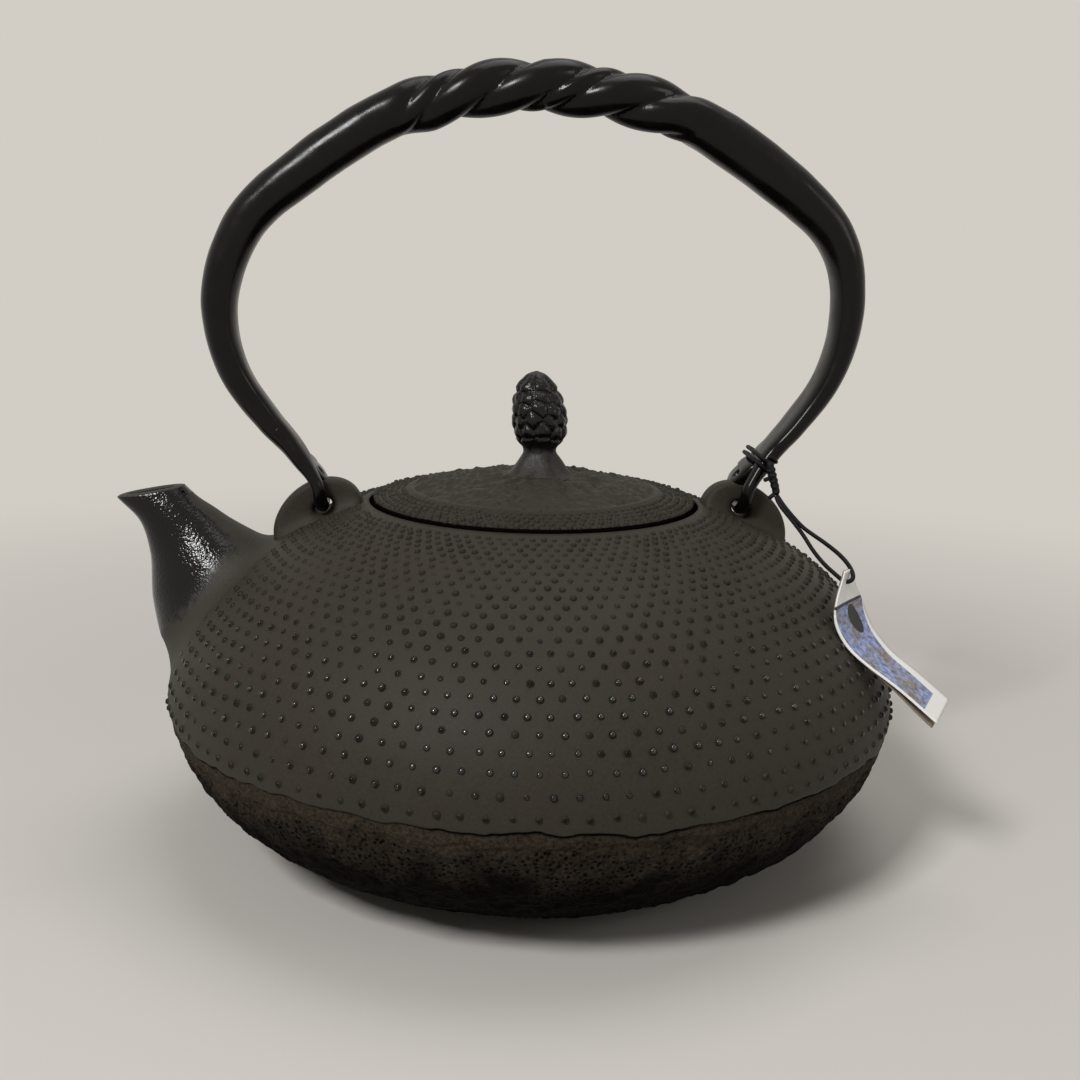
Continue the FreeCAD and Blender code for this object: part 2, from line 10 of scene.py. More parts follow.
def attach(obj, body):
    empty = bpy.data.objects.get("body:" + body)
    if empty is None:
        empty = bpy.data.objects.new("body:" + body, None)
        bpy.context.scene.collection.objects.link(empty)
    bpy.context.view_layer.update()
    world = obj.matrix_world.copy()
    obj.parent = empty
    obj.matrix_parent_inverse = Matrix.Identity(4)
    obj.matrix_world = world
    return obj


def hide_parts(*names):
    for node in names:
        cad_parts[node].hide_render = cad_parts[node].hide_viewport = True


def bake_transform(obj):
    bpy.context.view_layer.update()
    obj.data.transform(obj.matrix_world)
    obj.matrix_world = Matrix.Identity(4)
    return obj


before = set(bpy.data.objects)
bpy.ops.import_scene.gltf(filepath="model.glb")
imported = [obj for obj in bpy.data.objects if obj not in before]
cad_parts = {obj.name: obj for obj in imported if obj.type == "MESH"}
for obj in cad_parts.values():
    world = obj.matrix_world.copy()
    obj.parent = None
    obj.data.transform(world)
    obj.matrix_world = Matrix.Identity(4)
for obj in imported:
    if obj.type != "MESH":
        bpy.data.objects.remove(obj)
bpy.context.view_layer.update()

bl_info = {
    "name": "Cast iron teapot",
    "version": (1, 0, 0),
    "blender": (4, 5, 0),
    "location": "View3D > Sidebar > Teapot",
    "description": "Builds the visible teapot on its CAD frame",
    "category": "Object",
}

MM = 0.001
FULL_TURN = 2 * np.pi


# Sizes and colours that a user may change
def linear(hex_colour):
    """sRGB hex such as #3a352e as linear red, green, blue and full alpha."""
    parts = np.array([int(hex_colour[i:i + 2], 16) for i in (1, 3, 5)]) / 255
    low = parts / 12.92
    high = ((parts + 0.055) / 1.055) ** 2.4
    return tuple(np.where(parts <= 0.04045, low, high)) + (1.0,)


def length(name, text, millimetres):
    """A length property, given here in millimetres and kept in metres."""
    return bpy.props.FloatProperty(
        name=name, description=text, default=millimetres * MM, min=0.0, unit="LENGTH", precision=4)


def colour(name, text, hex_colour):
    """A colour property from its sRGB hex value."""
    return bpy.props.FloatVectorProperty(
        name=name, description=text, default=linear(hex_colour), size=4, min=0.0, max=1.0, subtype="COLOR")


def count(name, text, number):
    """A whole number property."""
    return bpy.props.IntProperty(name=name, description=text, default=number, min=1)


class TeapotPot(bpy.types.PropertyGroup):
    belly_radius: length("Belly radius", "Widest radius of the dotted dome", 92.5)
    belly_height: length("Belly height", "Height of the ragged edge over the foot", 38.5)
    shoulder_rise: length("Shoulder rise", "Height of the dome's ellipse over the belly", 55.2)
    skirt_radius: length("Skirt radius", "Widest radius of the rough bowl", 91.8)
    bowl_drop: length("Bowl drop", "Depth of the bowl's ellipse below the belly", 47.8)
    wall: length("Wall", "Thickness of the casting", 3.8)
    mouth_radius: length("Mouth radius", "Radius of the opening that the lid lies in", 42.1)
    dots_per_ring: count("Dots per ring", "Raised dots in each ring round the dome", 112)
    dot_radius: length("Dot radius", "Radius of a dot's foot on the belly", 1.0)
    dot_height: length("Dot height", "Height of a dot on the belly", 0.75)


class TeapotSpout(bpy.types.PropertyGroup):
    wall: length("Spout wall", "Wall of the spout inside the pot", 2.8)
    lip_wall: length("Lip wall", "Wall of the spout at its lip", 2.7)
    fillet: length("Root fillet", "Reach of the hollow curve where the spout grows out of the dome", 8.0)


class TeapotLid(bpy.types.PropertyGroup):
    edge_radius: length("Lid radius", "Radius of the lid's edge", 41.3)
    edge_height: length("Edge height", "Height of the lid's edge over the foot", 88.3)
    top: length("Top height", "Height of the flat under the knob", 94.6)
    dot_rings: count("Dot rings", "Rings of small dots inside the lid's edge", 6)
    knob_shift: length("Knob shift", "How far the knob stands off the pot's axis", 1.2)


class TeapotBail(bpy.types.PropertyGroup):
    grip_half: length("Half grip", "Half the length of the twisted grip", 32.0)
    grip_turns: bpy.props.FloatProperty(
        name="Grip turns", description="Turns of the twist along the grip", default=1.73)


class TeapotCord(bpy.types.PropertyGroup):
    diameter: length("Cord diameter", "Thickness of the tag's cord", 1.05)
    tag_width: length("Tag width", "Width of the paper tag", 16.0)


class TeapotColours(bpy.types.PropertyGroup):
    iron: colour("Iron", "Oiled cast iron of the dome and lid", "#322f28")
    iron_brown: colour("Iron clouds", "Browner clouds in the iron", "#342f27")
    crust: colour("Crust", "Rough casting skin of the bowl", "#39322a")
    # Also painted shade: blackens the gap round the lid, the lid's rim between its dots and the crack under
    # the ragged edge; elsewhere it is the bowl's blacker patches and the tag's dark print
    soot: colour("Soot", "Blacker patches of the bowl and of hidden seams", "#0b0807")
    # The dots' dark tops: partly their worn tone, partly painted shade
    rubbed: colour("Rubbed iron", "Darker polished tips of the dots", "#090807")
    lacquer: colour("Lacquer", "Black lacquer of the bail, the knob and the spout", "#080707")
    steel: colour("Steel", "Stainless steel of the strainer", "#b9b8b4")
    thread: colour("Thread", "Waxed black thread of the tag", "#0e0e0f")
    paper: colour("Paper", "Coated white paper of the tag", "#f9f8f4")
    panel: colour("Panel", "Printed panel on the tag", "#93a0cc")
    kraft: colour("Kraft", "Back leaf of the tag", "#8d8072")
    floor: colour("Floor", "Pale studio floor", "#dcd8d2")
    surround: colour("Surround", "Pale wall behind and around", "#d2cdc5")


def plain(group):
    """The group's values as plain numbers, with lengths in millimetres."""
    rules = group.bl_rna.properties
    names = type(group).__annotations__
    return SimpleNamespace(**{
        name: getattr(group, name) / MM if rules[name].unit == "LENGTH" else getattr(group, name)
        for name in names})


# Arrays
def lattice_noise(points, grain, seed):
    """Smooth random values from -1 to 1 at an array of points.

    Random numbers sit on the corners of cubes of the grain's size and are eased between them
    by 3 t^2 - 2 t^3 along each axis.
    """
    cells = points / grain
    corner = np.floor(cells).astype(np.int64)
    share = cells - corner
    share = share * share * (3 - 2 * share)
    table = np.random.default_rng(seed).uniform(-1, 1, 4096)
    total = np.zeros(points.shape[:-1])
    for offset in np.ndindex(2, 2, 2):
        spot = corner + np.array(offset)
        key = (spot[..., 0] * 73856093) ^ (spot[..., 1] * 19349663) ^ (spot[..., 2] * 83492791)
        total += np.where(offset, share, 1 - share).prod(-1) * table[key & 4095]
    return total


def roughness(points, grain, seed, layers=3):
    """Lattice noise added up in layers, each of half the grain and a little over half the height."""
    return sum(0.55 ** k * lattice_noise(points, grain * 0.5 ** k, seed + k) for k in range(layers))


def ease(low, high, values):
    """0 below low, 1 above high and a smooth S between them."""
    share = np.clip((values - low) / (high - low), 0, 1)
    return share * share * (3 - 2 * share)


def unit(vectors):
    """Vectors scaled to length 1."""
    return vectors / np.linalg.norm(vectors, axis=-1, keepdims=True)


def running(line):
    """Distance along a line of points at each of them."""
    return np.concatenate([[0], np.cumsum(np.linalg.norm(np.diff(line, axis=0), axis=1))])


def bearings(columns):
    """Even bearings round a full turn."""
    return np.arange(columns) * FULL_TURN / columns


def polar(radius, bearing, height):
    """Points at a radius, a bearing and a height about the Z axis."""
    return np.stack(np.broadcast_arrays(radius * np.cos(bearing), radius * np.sin(bearing), height), -1)


def arc(radius, rise, height, tilt):
    """Profile of an ellipse about the Z axis: radius cos t and height + rise sin t."""
    return np.stack([radius * np.cos(tilt), height + rise * np.sin(tilt)], -1)


def crossed(first, second, angle):
    """For each pair of axes, first cos a + second sin a at every angle a."""
    return first[:, None] * np.cos(angle)[None, :, None] + second[:, None] * np.sin(angle)[None, :, None]


def bulged(values, power):
    """Values raised to a power with their signs kept, which squares off an oval."""
    return np.sign(values) * np.abs(values) ** power


def closing(run, reach, least):
    """Factor that closes a bar's ends in a quarter circle over a reach along it: sqrt(1 - (1 - t)^2).

    Its square is never under least, so that no ring shrinks to a point.
    """
    near = np.clip(np.minimum(run, run[-1] - run) / reach, 0, 1)
    return np.sqrt(np.clip(1 - (1 - near) ** 2, least, 1))


def through(rows, steps, place=2):
    """A smooth line through given rows of numbers, at even steps.

    Between two rows each number is a cubic whose slopes at both ends are those of the parabola
    through the neighbours; the first numbers of a row are its place, which spaces the steps.
    """
    rows = np.asarray(rows, float)
    knots = running(rows[:, :place])
    slopes = np.gradient(rows, knots, axis=0)
    at = np.linspace(0, knots[-1], steps)
    k = np.clip(np.searchsorted(knots, at, side="right") - 1, 0, len(knots) - 2)
    span = (knots[k + 1] - knots[k])[:, None]
    t = (at - knots[k])[:, None] / span
    return ((2 * t**3 - 3 * t**2 + 1) * rows[k] + (t**3 - 2 * t**2 + t) * span * slopes[k]
            + (3 * t**2 - 2 * t**3) * rows[k + 1] + (t**3 - t**2) * span * slopes[k + 1])


def turned(profile, columns):
    """Grid of rings: each (radius, height) row of the profile turned about the Z axis."""
    profile = np.asarray(profile, float)
    return polar(profile[:, :1], bearings(columns), profile[:, 1:])


def strip(below, above):
    """Quads that join rings of point numbers to the rings above them."""
    return np.stack([below, np.roll(below, -1, 1), np.roll(above, -1, 1), above], -1).reshape(-1, 4)


def skin(grid, closed=False):
    """Points and faces of a grid of rings.

    Quads join each ring to the next. A closed grid joins its last ring to its first; any other
    has a fan of triangles from each end ring to that ring's middle.
    """
    rows, columns = grid.shape[:2]
    index = np.arange(rows * columns).reshape(rows, columns)
    points = grid.reshape(-1, 3)
    if closed:
        return points, [strip(index, np.roll(index, -1, 0))]
    middles = np.stack([grid[0].mean(0), grid[-1].mean(0)])
    first = np.full(columns, len(points))
    fans = [np.stack([np.roll(index[0], -1), index[0], first], -1),
            np.stack([index[-1], np.roll(index[-1], -1), first + 1], -1)]
    return np.concatenate([points, middles]), [strip(index[:-1], index[1:])] + fans


def volume(points, faces):
    """Signed volume inside a closed skin: the sum of its triangles' tetrahedra about the middle."""
    spots = points - points.mean(0)
    total = 0.0
    for group in faces:
        for k in range(1, group.shape[1] - 1):
            total += np.einsum("ij,ij->", spots[group[:, 0]],
                               np.cross(spots[group[:, k]], spots[group[:, k + 1]]))
    return total


def carried(along, axis):
    """Unit axes square to a line's directions: each is the one before less its part along the line."""
    axes = []
    for direction in along:
        axis = unit(axis - direction * (axis @ direction))
        axes.append(axis)
    return np.array(axes)


def headings(line):
    """Unit directions along a line of points."""
    return unit(np.gradient(line, axis=0))


# A direction that no line here follows, from which a tube's rings start
ODD_AXIS = (0.31, 0.52, 0.79)


def tube(line, radii, columns=12):
    """Grid of rings of those radii, square to a line of points."""
    along = headings(line)
    first = carried(along, np.cross(along[0], ODD_AXIS))
    reach = np.broadcast_to(radii, len(line))[:, None, None]
    return line[:, None] + reach * crossed(first, np.cross(along, first), bearings(columns))


def placed(name, data):
    """A new object with that data, linked to the scene."""
    made = bpy.data.objects.new(name, data)
    bpy.context.scene.collection.objects.link(made)
    return made


def evaluated_mesh(made):
    """A new mesh of an object as its curve settings and modifiers shape it."""
    bpy.context.view_layer.update()
    return bpy.data.meshes.new_from_object(made.evaluated_get(bpy.context.evaluated_depsgraph_get()))


def make_piece(name, skins, finish, body, replaced=(), uv=None, values=None):
    """One smooth mesh object from skins in millimetres, riding on a body if one is named.

    Each skin is turned so that its faces point outwards. finish names the material. uv gives a pair and
    values a number for each point, kept as a UV map and as the attribute named by the key.
    """
    points = np.concatenate([spots for spots, _ in skins])
    polygons = []
    start = 0
    for spots, groups in skins:
        turn = -1 if volume(spots, groups) < 0 else 1
        for group in groups:
            polygons += (group[:, ::turn] + start).tolist()
        start += len(spots)
    mesh = bpy.data.meshes.new(name)
    mesh.from_pydata((points * MM).tolist(), [], polygons)
    mesh.polygons.foreach_set("use_smooth", np.ones(len(polygons), bool))
    if uv is not None:
        corners = np.empty(len(mesh.loops), int)
        mesh.loops.foreach_get("vertex_index", corners)
        mesh.uv_layers.new(name="flat").data.foreach_set("uv", uv[corners].ravel())
    for key, numbers in (values or {}).items():
        mesh.attributes.new(key, "FLOAT", "POINT").data.foreach_set("value", numbers.astype(np.float32))
    if mesh.validate():
        raise RuntimeError("%s has faulty faces" % name)
    mesh.materials.append(bpy.data.materials[finish])
    made = placed(name, mesh)
    if body:
        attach(made, body)
    if replaced:
        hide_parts(*replaced)
    return made


# Finishes
def feed(node, inputs):
    """Set a node's sockets by name or in order, each to a constant or to the output that feeds it."""
    for socket, source in inputs.items() if isinstance(inputs, dict) else enumerate(inputs):
        if isinstance(source, bpy.types.NodeSocket):
            node.id_data.links.new(source, node.inputs[socket])
        else:
            node.inputs[socket].default_value = source


def add_node(tree, kind, inputs=(), out=0, **settings):
    """Add one shader node with its settings and sockets, and return that output of it."""
    made = tree.nodes.new("ShaderNode" + kind)
    for key, setting in settings.items():
        setattr(made, key, setting)
    feed(made, inputs)
    return made.outputs[out]


def blank_finish(name):
    """A new material, add_node for its tree, its surface shader and the object coordinates in it."""
    material = bpy.data.materials.new(name)
    material.use_nodes = True
    add = partial(add_node, material.node_tree)
    return material, add, material.node_tree.nodes["Principled BSDF"], add("TexCoord", out="Object")


def sand_cast_iron(colours):
    """Oiled sand-cast iron: a warm dark grey skin with a fine dull grain and faint brown clouds.

    Its attribute blackens and dulls it: painted shade in the gap between lid and pot and between the lid's
    dots.
    """
    material, add, surface, place = blank_finish("sand_cast_iron")
    clouds = add("TexNoise", {"Vector": place, "Scale": 1 / (22 * MM), "Detail": 4.0, "Roughness": 0.6})
    grain = add("TexNoise", {"Vector": place, "Scale": 1 / (0.7 * MM), "Detail": 3.0, "Roughness": 0.65})
    patch = add("MapRange", (clouds, 0.38, 0.66))
    base = add("Mix", {0: patch, 6: colours.iron, 7: colours.iron_brown}, 2, data_type="RGBA")
    speck = add("MapRange", (grain, 0.3, 0.7, 0.78, 1.16))
    shade = add("VectorMath", {0: base, "Scale": speck}, operation="SCALE")
    # Painted shade: blackens the gap round the lid and the rim between the lid's dots
    painted_shade = add("Attribute", out="Fac", attribute_name="painted_shade")
    feed(surface, {
        "Base Color": add("Mix", {0: painted_shade, 6: shade, 7: colours.soot}, 2, data_type="RGBA"),
        "Roughness": add("MapRange", (grain, 0.3, 0.7, 0.52, 0.68)),
        "Specular IOR Level": add("MapRange", (painted_shade, 0.0, 1.0, 0.2, 0.0)),
        "Normal": add("Bump", {"Height": grain, "Strength": 0.5, "Distance": 0.12 * MM}),
    })
    return material


def rubbed_iron_and_shade(colours):
    """Iron nubs worn by brush and cloth: dull grey at the foot, dark on top, glossy at the tip; the dark top
    is partly their worn tone and partly painted shade.

    The attribute "tip" is the share of a dot's height, times how far that dot is polished.
    """
    material, add, surface, _ = blank_finish("rubbed_iron_and_shade")
    tip = add("Attribute", out="Fac", attribute_name="tip")
    polish_and_shade = add("MapRange", (tip, 0.15, 0.6))
    # Darker tops: partly the worn tone, partly painted shade
    dark = add("Math", (polish_and_shade, 0.9), operation="MULTIPLY")
    feed(surface, {
        "Base Color": add("Mix", {0: dark, 6: colours.iron, 7: colours.rubbed}, 2, data_type="RGBA"),
        "Roughness": add("MapRange", (polish_and_shade, 0.0, 1.0, 0.5, 0.1)),
        "Specular IOR Level": add("MapRange", (tip, 0.6, 0.95, 0.1, 0.8)),
    })
    return material


def burnt_iron_crust(colours):
    """Unground casting skin: dull brown scale under the edge, darker further down, with clusters of pits.

    Its attribute for the crack paints the shade under the ragged edge black, as if it were one of the pits.
    """
    material, add, surface, place = blank_finish("burnt_iron_crust")
    patches = add("TexNoise", {"Vector": place, "Scale": 1 / (10 * MM), "Detail": 5.0, "Roughness": 0.65})
    grit = add("TexNoise", {"Vector": place, "Scale": 1 / (0.9 * MM), "Detail": 4.0, "Roughness": 0.7})
    cells = add("TexVoronoi", {"Vector": place, "Scale": 1 / (1.1 * MM), "Randomness": 1.0}, "Distance",
                feature="F1")
    down = add("MapRange", (add("SeparateXYZ", (place,), "Z"), 36 * MM, 9 * MM))
    # Darker towards the bottom and in noise patches
    down_and_patches = add("Math", (down, patches), operation="ADD")
    darkened = add("MapRange", (down_and_patches, 0.52, 1.05))
    base = add("Mix", {0: darkened, 6: colours.crust, 7: colours.soot}, 2, data_type="RGBA")
    hollow = add("MapRange", (cells, 0.42, 0.22))
    cluster = add("MapRange", (down_and_patches, 0.56, 0.72))
    pit = add("Math", (hollow, cluster), operation="MULTIPLY")
    crack_shade = add("Attribute", out="Fac", attribute_name="painted_shade")
    # The crack's painted shade joins the pits, darkening and sinking like them
    pit = add("Math", (pit, crack_shade), operation="MAXIMUM")
    pitted = add("Mix", {0: pit, 6: base, 7: colours.soot}, 2, data_type="RGBA")
    speck = add("MapRange", (grit, 0.3, 0.7, 0.4, 1.75))
    height = add("Math", (grit, pit), operation="SUBTRACT")
    feed(surface, {
        "Base Color": add("VectorMath", {0: pitted, "Scale": speck}, operation="SCALE"),
        "Roughness": 0.75,
        "Specular IOR Level": 0.03,
        "Normal": add("Bump", {"Height": height, "Strength": 1.0, "Distance": 0.8 * MM}),
    })
    return material


def black_lacquer(colours):
    """Black lacquer baked on forged iron: deep black, glossy, with a brushed coat's faint dimples."""
    material, add, surface, place = blank_finish("black_lacquer")
    peel = add("TexNoise", {"Vector": place, "Scale": 1 / (1.4 * MM), "Detail": 2.0, "Roughness": 0.5})
    wear = add("TexNoise", {"Vector": place, "Scale": 1 / (7 * MM), "Detail": 4.0, "Roughness": 0.6})
    tone = add("MapRange", (wear, 0.3, 0.7, 0.8, 1.5))
    feed(surface, {
        "Base Color": add("VectorMath", {0: colours.lacquer[:3], "Scale": tone}, operation="SCALE"),
        "Roughness": add("MapRange", (wear, 0.35, 0.7, 0.16, 0.34)),
        "Specular IOR Level": 0.21,
        "Normal": add("Bump", {"Height": peel, "Strength": 0.25, "Distance": 0.1 * MM}),
    })
    return material


def spout_lacquer(colours):
    """Black lacquer that runs out over cast iron: speckled gloss where "lacquer" is high, then iron."""
    material, add, surface, place = blank_finish("spout_lacquer")
    cover = add("Attribute", out="Fac", attribute_name="lacquer")
    ragged = add("TexNoise", {"Vector": place, "Scale": 1 / (2.6 * MM), "Detail": 5.0, "Roughness": 0.65})
    speckle = add("TexNoise", {"Vector": place, "Scale": 1 / (0.65 * MM), "Detail": 1.5, "Roughness": 0.55})
    both = add("Math", (cover, ragged), operation="ADD")
    coat = add("MapRange", (both, 0.84, 1.1))
    shine = add("Math", (coat, cover), operation="MULTIPLY")
    feed(surface, {
        "Base Color": add("Mix", {0: coat, 6: colours.iron, 7: colours.lacquer}, 2, data_type="RGBA"),
        "Roughness": add("MapRange", (shine, 0.0, 1.0, 0.62, 0.1)),
        "Specular IOR Level": 0.33,
        "Normal": add("Bump", {"Height": speckle, "Strength": 1.0, "Distance": 0.15 * MM}),
    })
    return material


def strainer_steel(colours):
    """Stainless wire and pressed sheet: bright neutral metal with fine drawn streaks."""
    material, add, surface, place = blank_finish("stainless_steel")
    drawn = add("Mapping", {"Vector": place, "Scale": (1.0, 1.0, 12.0)})
    streaks = add("TexNoise", {"Vector": drawn, "Scale": 1 / (6 * MM), "Detail": 3.0})
    feed(surface, {
        "Base Color": colours.steel,
        "Metallic": 1.0,
        "Roughness": add("MapRange", (streaks, 0.3, 0.7, 0.22, 0.4)),
    })
    return material


def waxed_thread(colours):
    """Twisted waxed cotton: near-black, soft, with slanting plies about a millimetre apart."""
    material, add, surface, place = blank_finish("waxed_thread")
    plies = add("TexWave", {
        "Vector": place, "Scale": 1 / (4.4 * MM), "Distortion": 1.5, "Detail": 2.0, "Detail Scale": 3.0},
        "Fac", wave_type="BANDS", bands_direction="DIAGONAL")
    tone = add("MapRange", (plies, 0.0, 1.0, 0.6, 1.4))
    feed(surface, {
        "Base Color": add("VectorMath", {0: colours.thread[:3], "Scale": tone}, operation="SCALE"),
        "Roughness": 0.6,
        "Specular IOR Level": 0.2,
        "Normal": add("Bump", {"Height": plies, "Strength": 0.6, "Distance": 0.12 * MM}),
    })
    return material


def coated_paper(colours):
    """Coated white card with a printed panel: soft sheen, a faint fibre and a crisp pale border.

    The UV map is in millimetres across and along the tag, so the panel's edges are plain limits.
    """
    material, add, surface, place = blank_finish("coated_paper")
    flat = add("UVMap", uv_map="flat")
    across = add("SeparateXYZ", (flat,), "X")
    along = add("SeparateXYZ", (flat,), "Y")
    slant = add("Math", (along, 0.11, across), operation="MULTIPLY_ADD")
    inside = 1.0
    for value, edge, kind in ((across, -6.9, "GREATER_THAN"), (slant, 8.2, "LESS_THAN"),
                              (along, 7.6, "GREATER_THAN"), (along, 39.4, "LESS_THAN")):
        test = add("Math", (value, edge), operation=kind)
        inside = add("Math", (inside, test), operation="MULTIPLY")
    mottle = add("TexNoise", {"Vector": flat, "Scale": 1 / 1.5, "Detail": 4.0, "Roughness": 0.7})
    tone = add("MapRange", (mottle, 0.32, 0.68, 0.25, 1.55))
    blotch = add("TexNoise", {"Vector": flat, "Scale": 1 / 9, "Detail": 2.0})
    faded = add("MapRange", (blotch, 0.42, 0.62))
    wash = add("Mix", {0: faded, 6: colours.panel, 7: colours.kraft}, 2, data_type="RGBA")
    ink = add("VectorMath", {0: wash, "Scale": tone}, operation="SCALE")
    local = add("Mapping", {
        "Vector": flat, "Location": (1.8, 13.0, 0.0), "Rotation": (0.0, 0.0, -0.25),
        "Scale": (2.3, 4.4, 1.0)}, vector_type="TEXTURE")
    reach = add("VectorMath", (local,), "Value", operation="LENGTH")
    oval = add("Math", (reach, 1.0), operation="LESS_THAN")
    band = add("Math", (along, 8.1, 0.35), operation="COMPARE")
    dark = add("Math", (oval, band), operation="MAXIMUM")
    motif = add("Mix", {0: dark, 6: ink, 7: colours.soot}, 2, data_type="RGBA")
    fibre = add("TexNoise", {"Vector": place, "Scale": 1 / (0.9 * MM), "Detail": 3.0})
    feed(surface, {
        "Base Color": add("Mix", {0: inside, 6: colours.paper, 7: motif}, 2, data_type="RGBA"),
        "Roughness": 0.45,
        "Normal": add("Bump", {"Height": fibre, "Strength": 0.15, "Distance": 0.05 * MM}),
    })
    return material


def kraft_paper(colours):
    """Uncoated brown paper: matte, with short darker fibres."""
    material, add, surface, place = blank_finish("kraft_paper")
    fibre = add("TexNoise", {"Vector": place, "Scale": 1 / (0.8 * MM), "Detail": 4.0, "Roughness": 0.7})
    tone = add("MapRange", (fibre, 0.3, 0.7, 0.75, 1.2))
    feed(surface, {
        "Base Color": add("VectorMath", {0: colours.kraft[:3], "Scale": tone}, operation="SCALE"),
        "Roughness": 0.8,
    })
    return material


FINISHES = (sand_cast_iron, rubbed_iron_and_shade, burnt_iron_crust, black_lacquer, spout_lacquer, strainer_steel,
            waxed_thread, coated_paper, kraft_paper)


class TEAPOT_OT_finishes(bpy.types.Operator):
    """Make the materials"""
    bl_idname = "teapot.finishes"
    bl_label = "Finishes"

    def execute(self, context):
        for make in FINISHES:
            make(context.scene.teapot_colours)
        return {"FINISHED"}


# Cord and tag
KNOT = np.array([59.8, -10.0, 95.2])
KNOT_AXIS = np.array([-0.236, 0.225, 0.945])
# Strands from the knot down to the tag's hole and back
CORD_ROUTE = (
    (60.9, -11.0, 91.0), (61.8, -12.4, 89.4), (63.2, -16.0, 87.3), (64.8, -20.6, 85.2), (66.2, -23.4, 84.2),
    (68.8, -28.0, 82.6), (70.9, -34.0, 80.9), (72.1, -38.2, 78.9), (72.1, -40.9, 77.0), (70.6, -39.6, 75.6),
    (69.4, -37.2, 76.6), (67.6, -32.0, 78.2), (66.0, -27.0, 80.6), (64.7, -22.5, 83.6), (62.8, -16.4, 86.7),
    (60.8, -12.0, 89.4), (60.5, -11.2, 91.0),
)
# Hitch round the right leg: its middle, the leg's direction, its turns, the climb per turn and points per
# turn
HITCH_CENTRE = np.array([58.3, -0.2, 99.0])
HITCH_ALONG = np.array([-0.56, 0.0, -0.829])
HITCH_TURNS = 2.4
HITCH_PITCH = 1.6
HITCH_POINTS = 16
# Half the leg's thickness and half its depth under the cord, and the power that squares the turns
HITCH_LEG = (2.6, 6.9)
HITCH_POWER = 0.62


def nurbs_line(name, points, bevel=0.0):
    """A smooth open NURBS curve with those points, in millimetres, as its control points."""
    curve = bpy.data.curves.new(name, "CURVE")
    curve.dimensions = "3D"
    spline = curve.splines.new("NURBS")
    spline.points.add(len(points) - 1)
    spots = np.column_stack([np.asarray(points) * MM, np.ones(len(points))])
    spline.points.foreach_set("co", spots.ravel())
    spline.order_u = 3
    spline.use_endpoint_u = True
    spline.resolution_u = 8
    curve.bevel_depth = bevel * MM
    curve.bevel_resolution = 4
    curve.use_fill_caps = bevel > 0
    return placed(name, curve)


def line_points(points):
    """Points along the NURBS line through a route, in millimetres."""
    guide = nurbs_line("guide", points)
    mesh = evaluated_mesh(guide)
    spots = np.empty(len(mesh.vertices) * 3)
    mesh.vertices.foreach_get("co", spots)
    bpy.data.meshes.remove(mesh)
    bpy.data.curves.remove(guide.data)
    return spots.reshape(-1, 3) / MM


def hitch_route(cord):
    """Turns round the flat leg: an oval squared by a low power of cos and sin, that climbs evenly."""
    turns = np.linspace(0, HITCH_TURNS, round(HITCH_POINTS * HITCH_TURNS) + 1)
    angle = FULL_TURN * turns - np.pi / 2
    outward = np.array([HITCH_ALONG[2], 0, -HITCH_ALONG[0]])
    thick, deep = np.array(HITCH_LEG) + cord.diameter / 2
    out = -thick * bulged(np.cos(angle), HITCH_POWER)
    side = deep * bulged(np.sin(angle), HITCH_POWER)
    climb = (turns - HITCH_TURNS / 2) * HITCH_PITCH
    return (HITCH_CENTRE + outward * out[:, None] + np.array([0, 1.0, 0]) * side[:, None]
            + HITCH_ALONG * climb[:, None])


def knot_skins():
    """Barrel knot: a tight slanting helix of cord about its leaning axis, a core, and two cut tails."""
    coils, knot_length, tail_length = 5.5, 7.6, 2.6
    side = unit(np.cross(KNOT_AXIS, [1.0, 0, 0]))
    front = np.cross(side, KNOT_AXIS)
    t = np.linspace(0, 1, 160)
    swing = FULL_TURN * coils * t
    reach = 0.46 + 0.2 * t - 0.2 * (2 * t - 1) ** 4
    along = knot_length * (t - 0.5) + 0.45 * np.sin(swing + 0.7)
    coil = (KNOT + KNOT_AXIS * along[:, None] + side * (reach * np.cos(swing))[:, None]
            + front * (reach * np.sin(swing))[:, None])
    core = KNOT + KNOT_AXIS * np.linspace(-4.4, 4.8, 20)[:, None]
    # Each bar: its line, its radius, the share of it that closes at each end, and its sides
    bars = [(coil, 0.6, 0.01, 8), (core, 0.95, 0.2, 10)]
    for low, heading in ((0.6, (-0.9, -0.1, -0.35)), (-3.4, (-0.75, -0.1, -0.6))):
        run = np.linspace(0, tail_length, 10)[:, None]
        bars.append((KNOT + KNOT_AXIS * low + unit(np.array(heading)) * run, 0.58, 0.1, 8))
    return [skin(tube(line, radius * closing(np.linspace(0, 1, len(line)), share, 0.02), columns))
            for line, radius, share, columns in bars]


class TEAPOT_OT_cord(bpy.types.Operator):
    """Wind the cord round the leg, tie its knot and hang its two strands"""
    bl_idname = "teapot.cord"
    bl_label = "Cord"

    def execute(self, context):
        cord = plain(context.scene.teapot_cord)
        knot = make_piece("cord_knot", knot_skins(), "waxed_thread", "handle", ["tag_cord_knot"])
        route = hitch_route(cord)
        hitch = nurbs_line("cord_hitch", route, cord.diameter / 2)
        hitch.data.materials.append(bpy.data.materials["waxed_thread"])
        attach(hitch, "handle")
        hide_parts("tag_cord_hitch")
        line = line_points(CORD_ROUTE)
        strands = make_piece("cord_strands", [skin(tube(line, cord.diameter / 2, 10))], "waxed_thread", None,
                             ["tag_cord"])
        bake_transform(strands)
        return {"FINISHED"}


# Line of the tag from its hole to its free end: distance from the pot's axis and height
TAG_LINE = ((79.9, 78.8), (79.9, 73.0), (81.0, 67.3), (83.8, 62.2), (88.4, 57.8), (96.6, 52.4), (104.6, 46.8))
TAG_TURN = np.radians(-29)


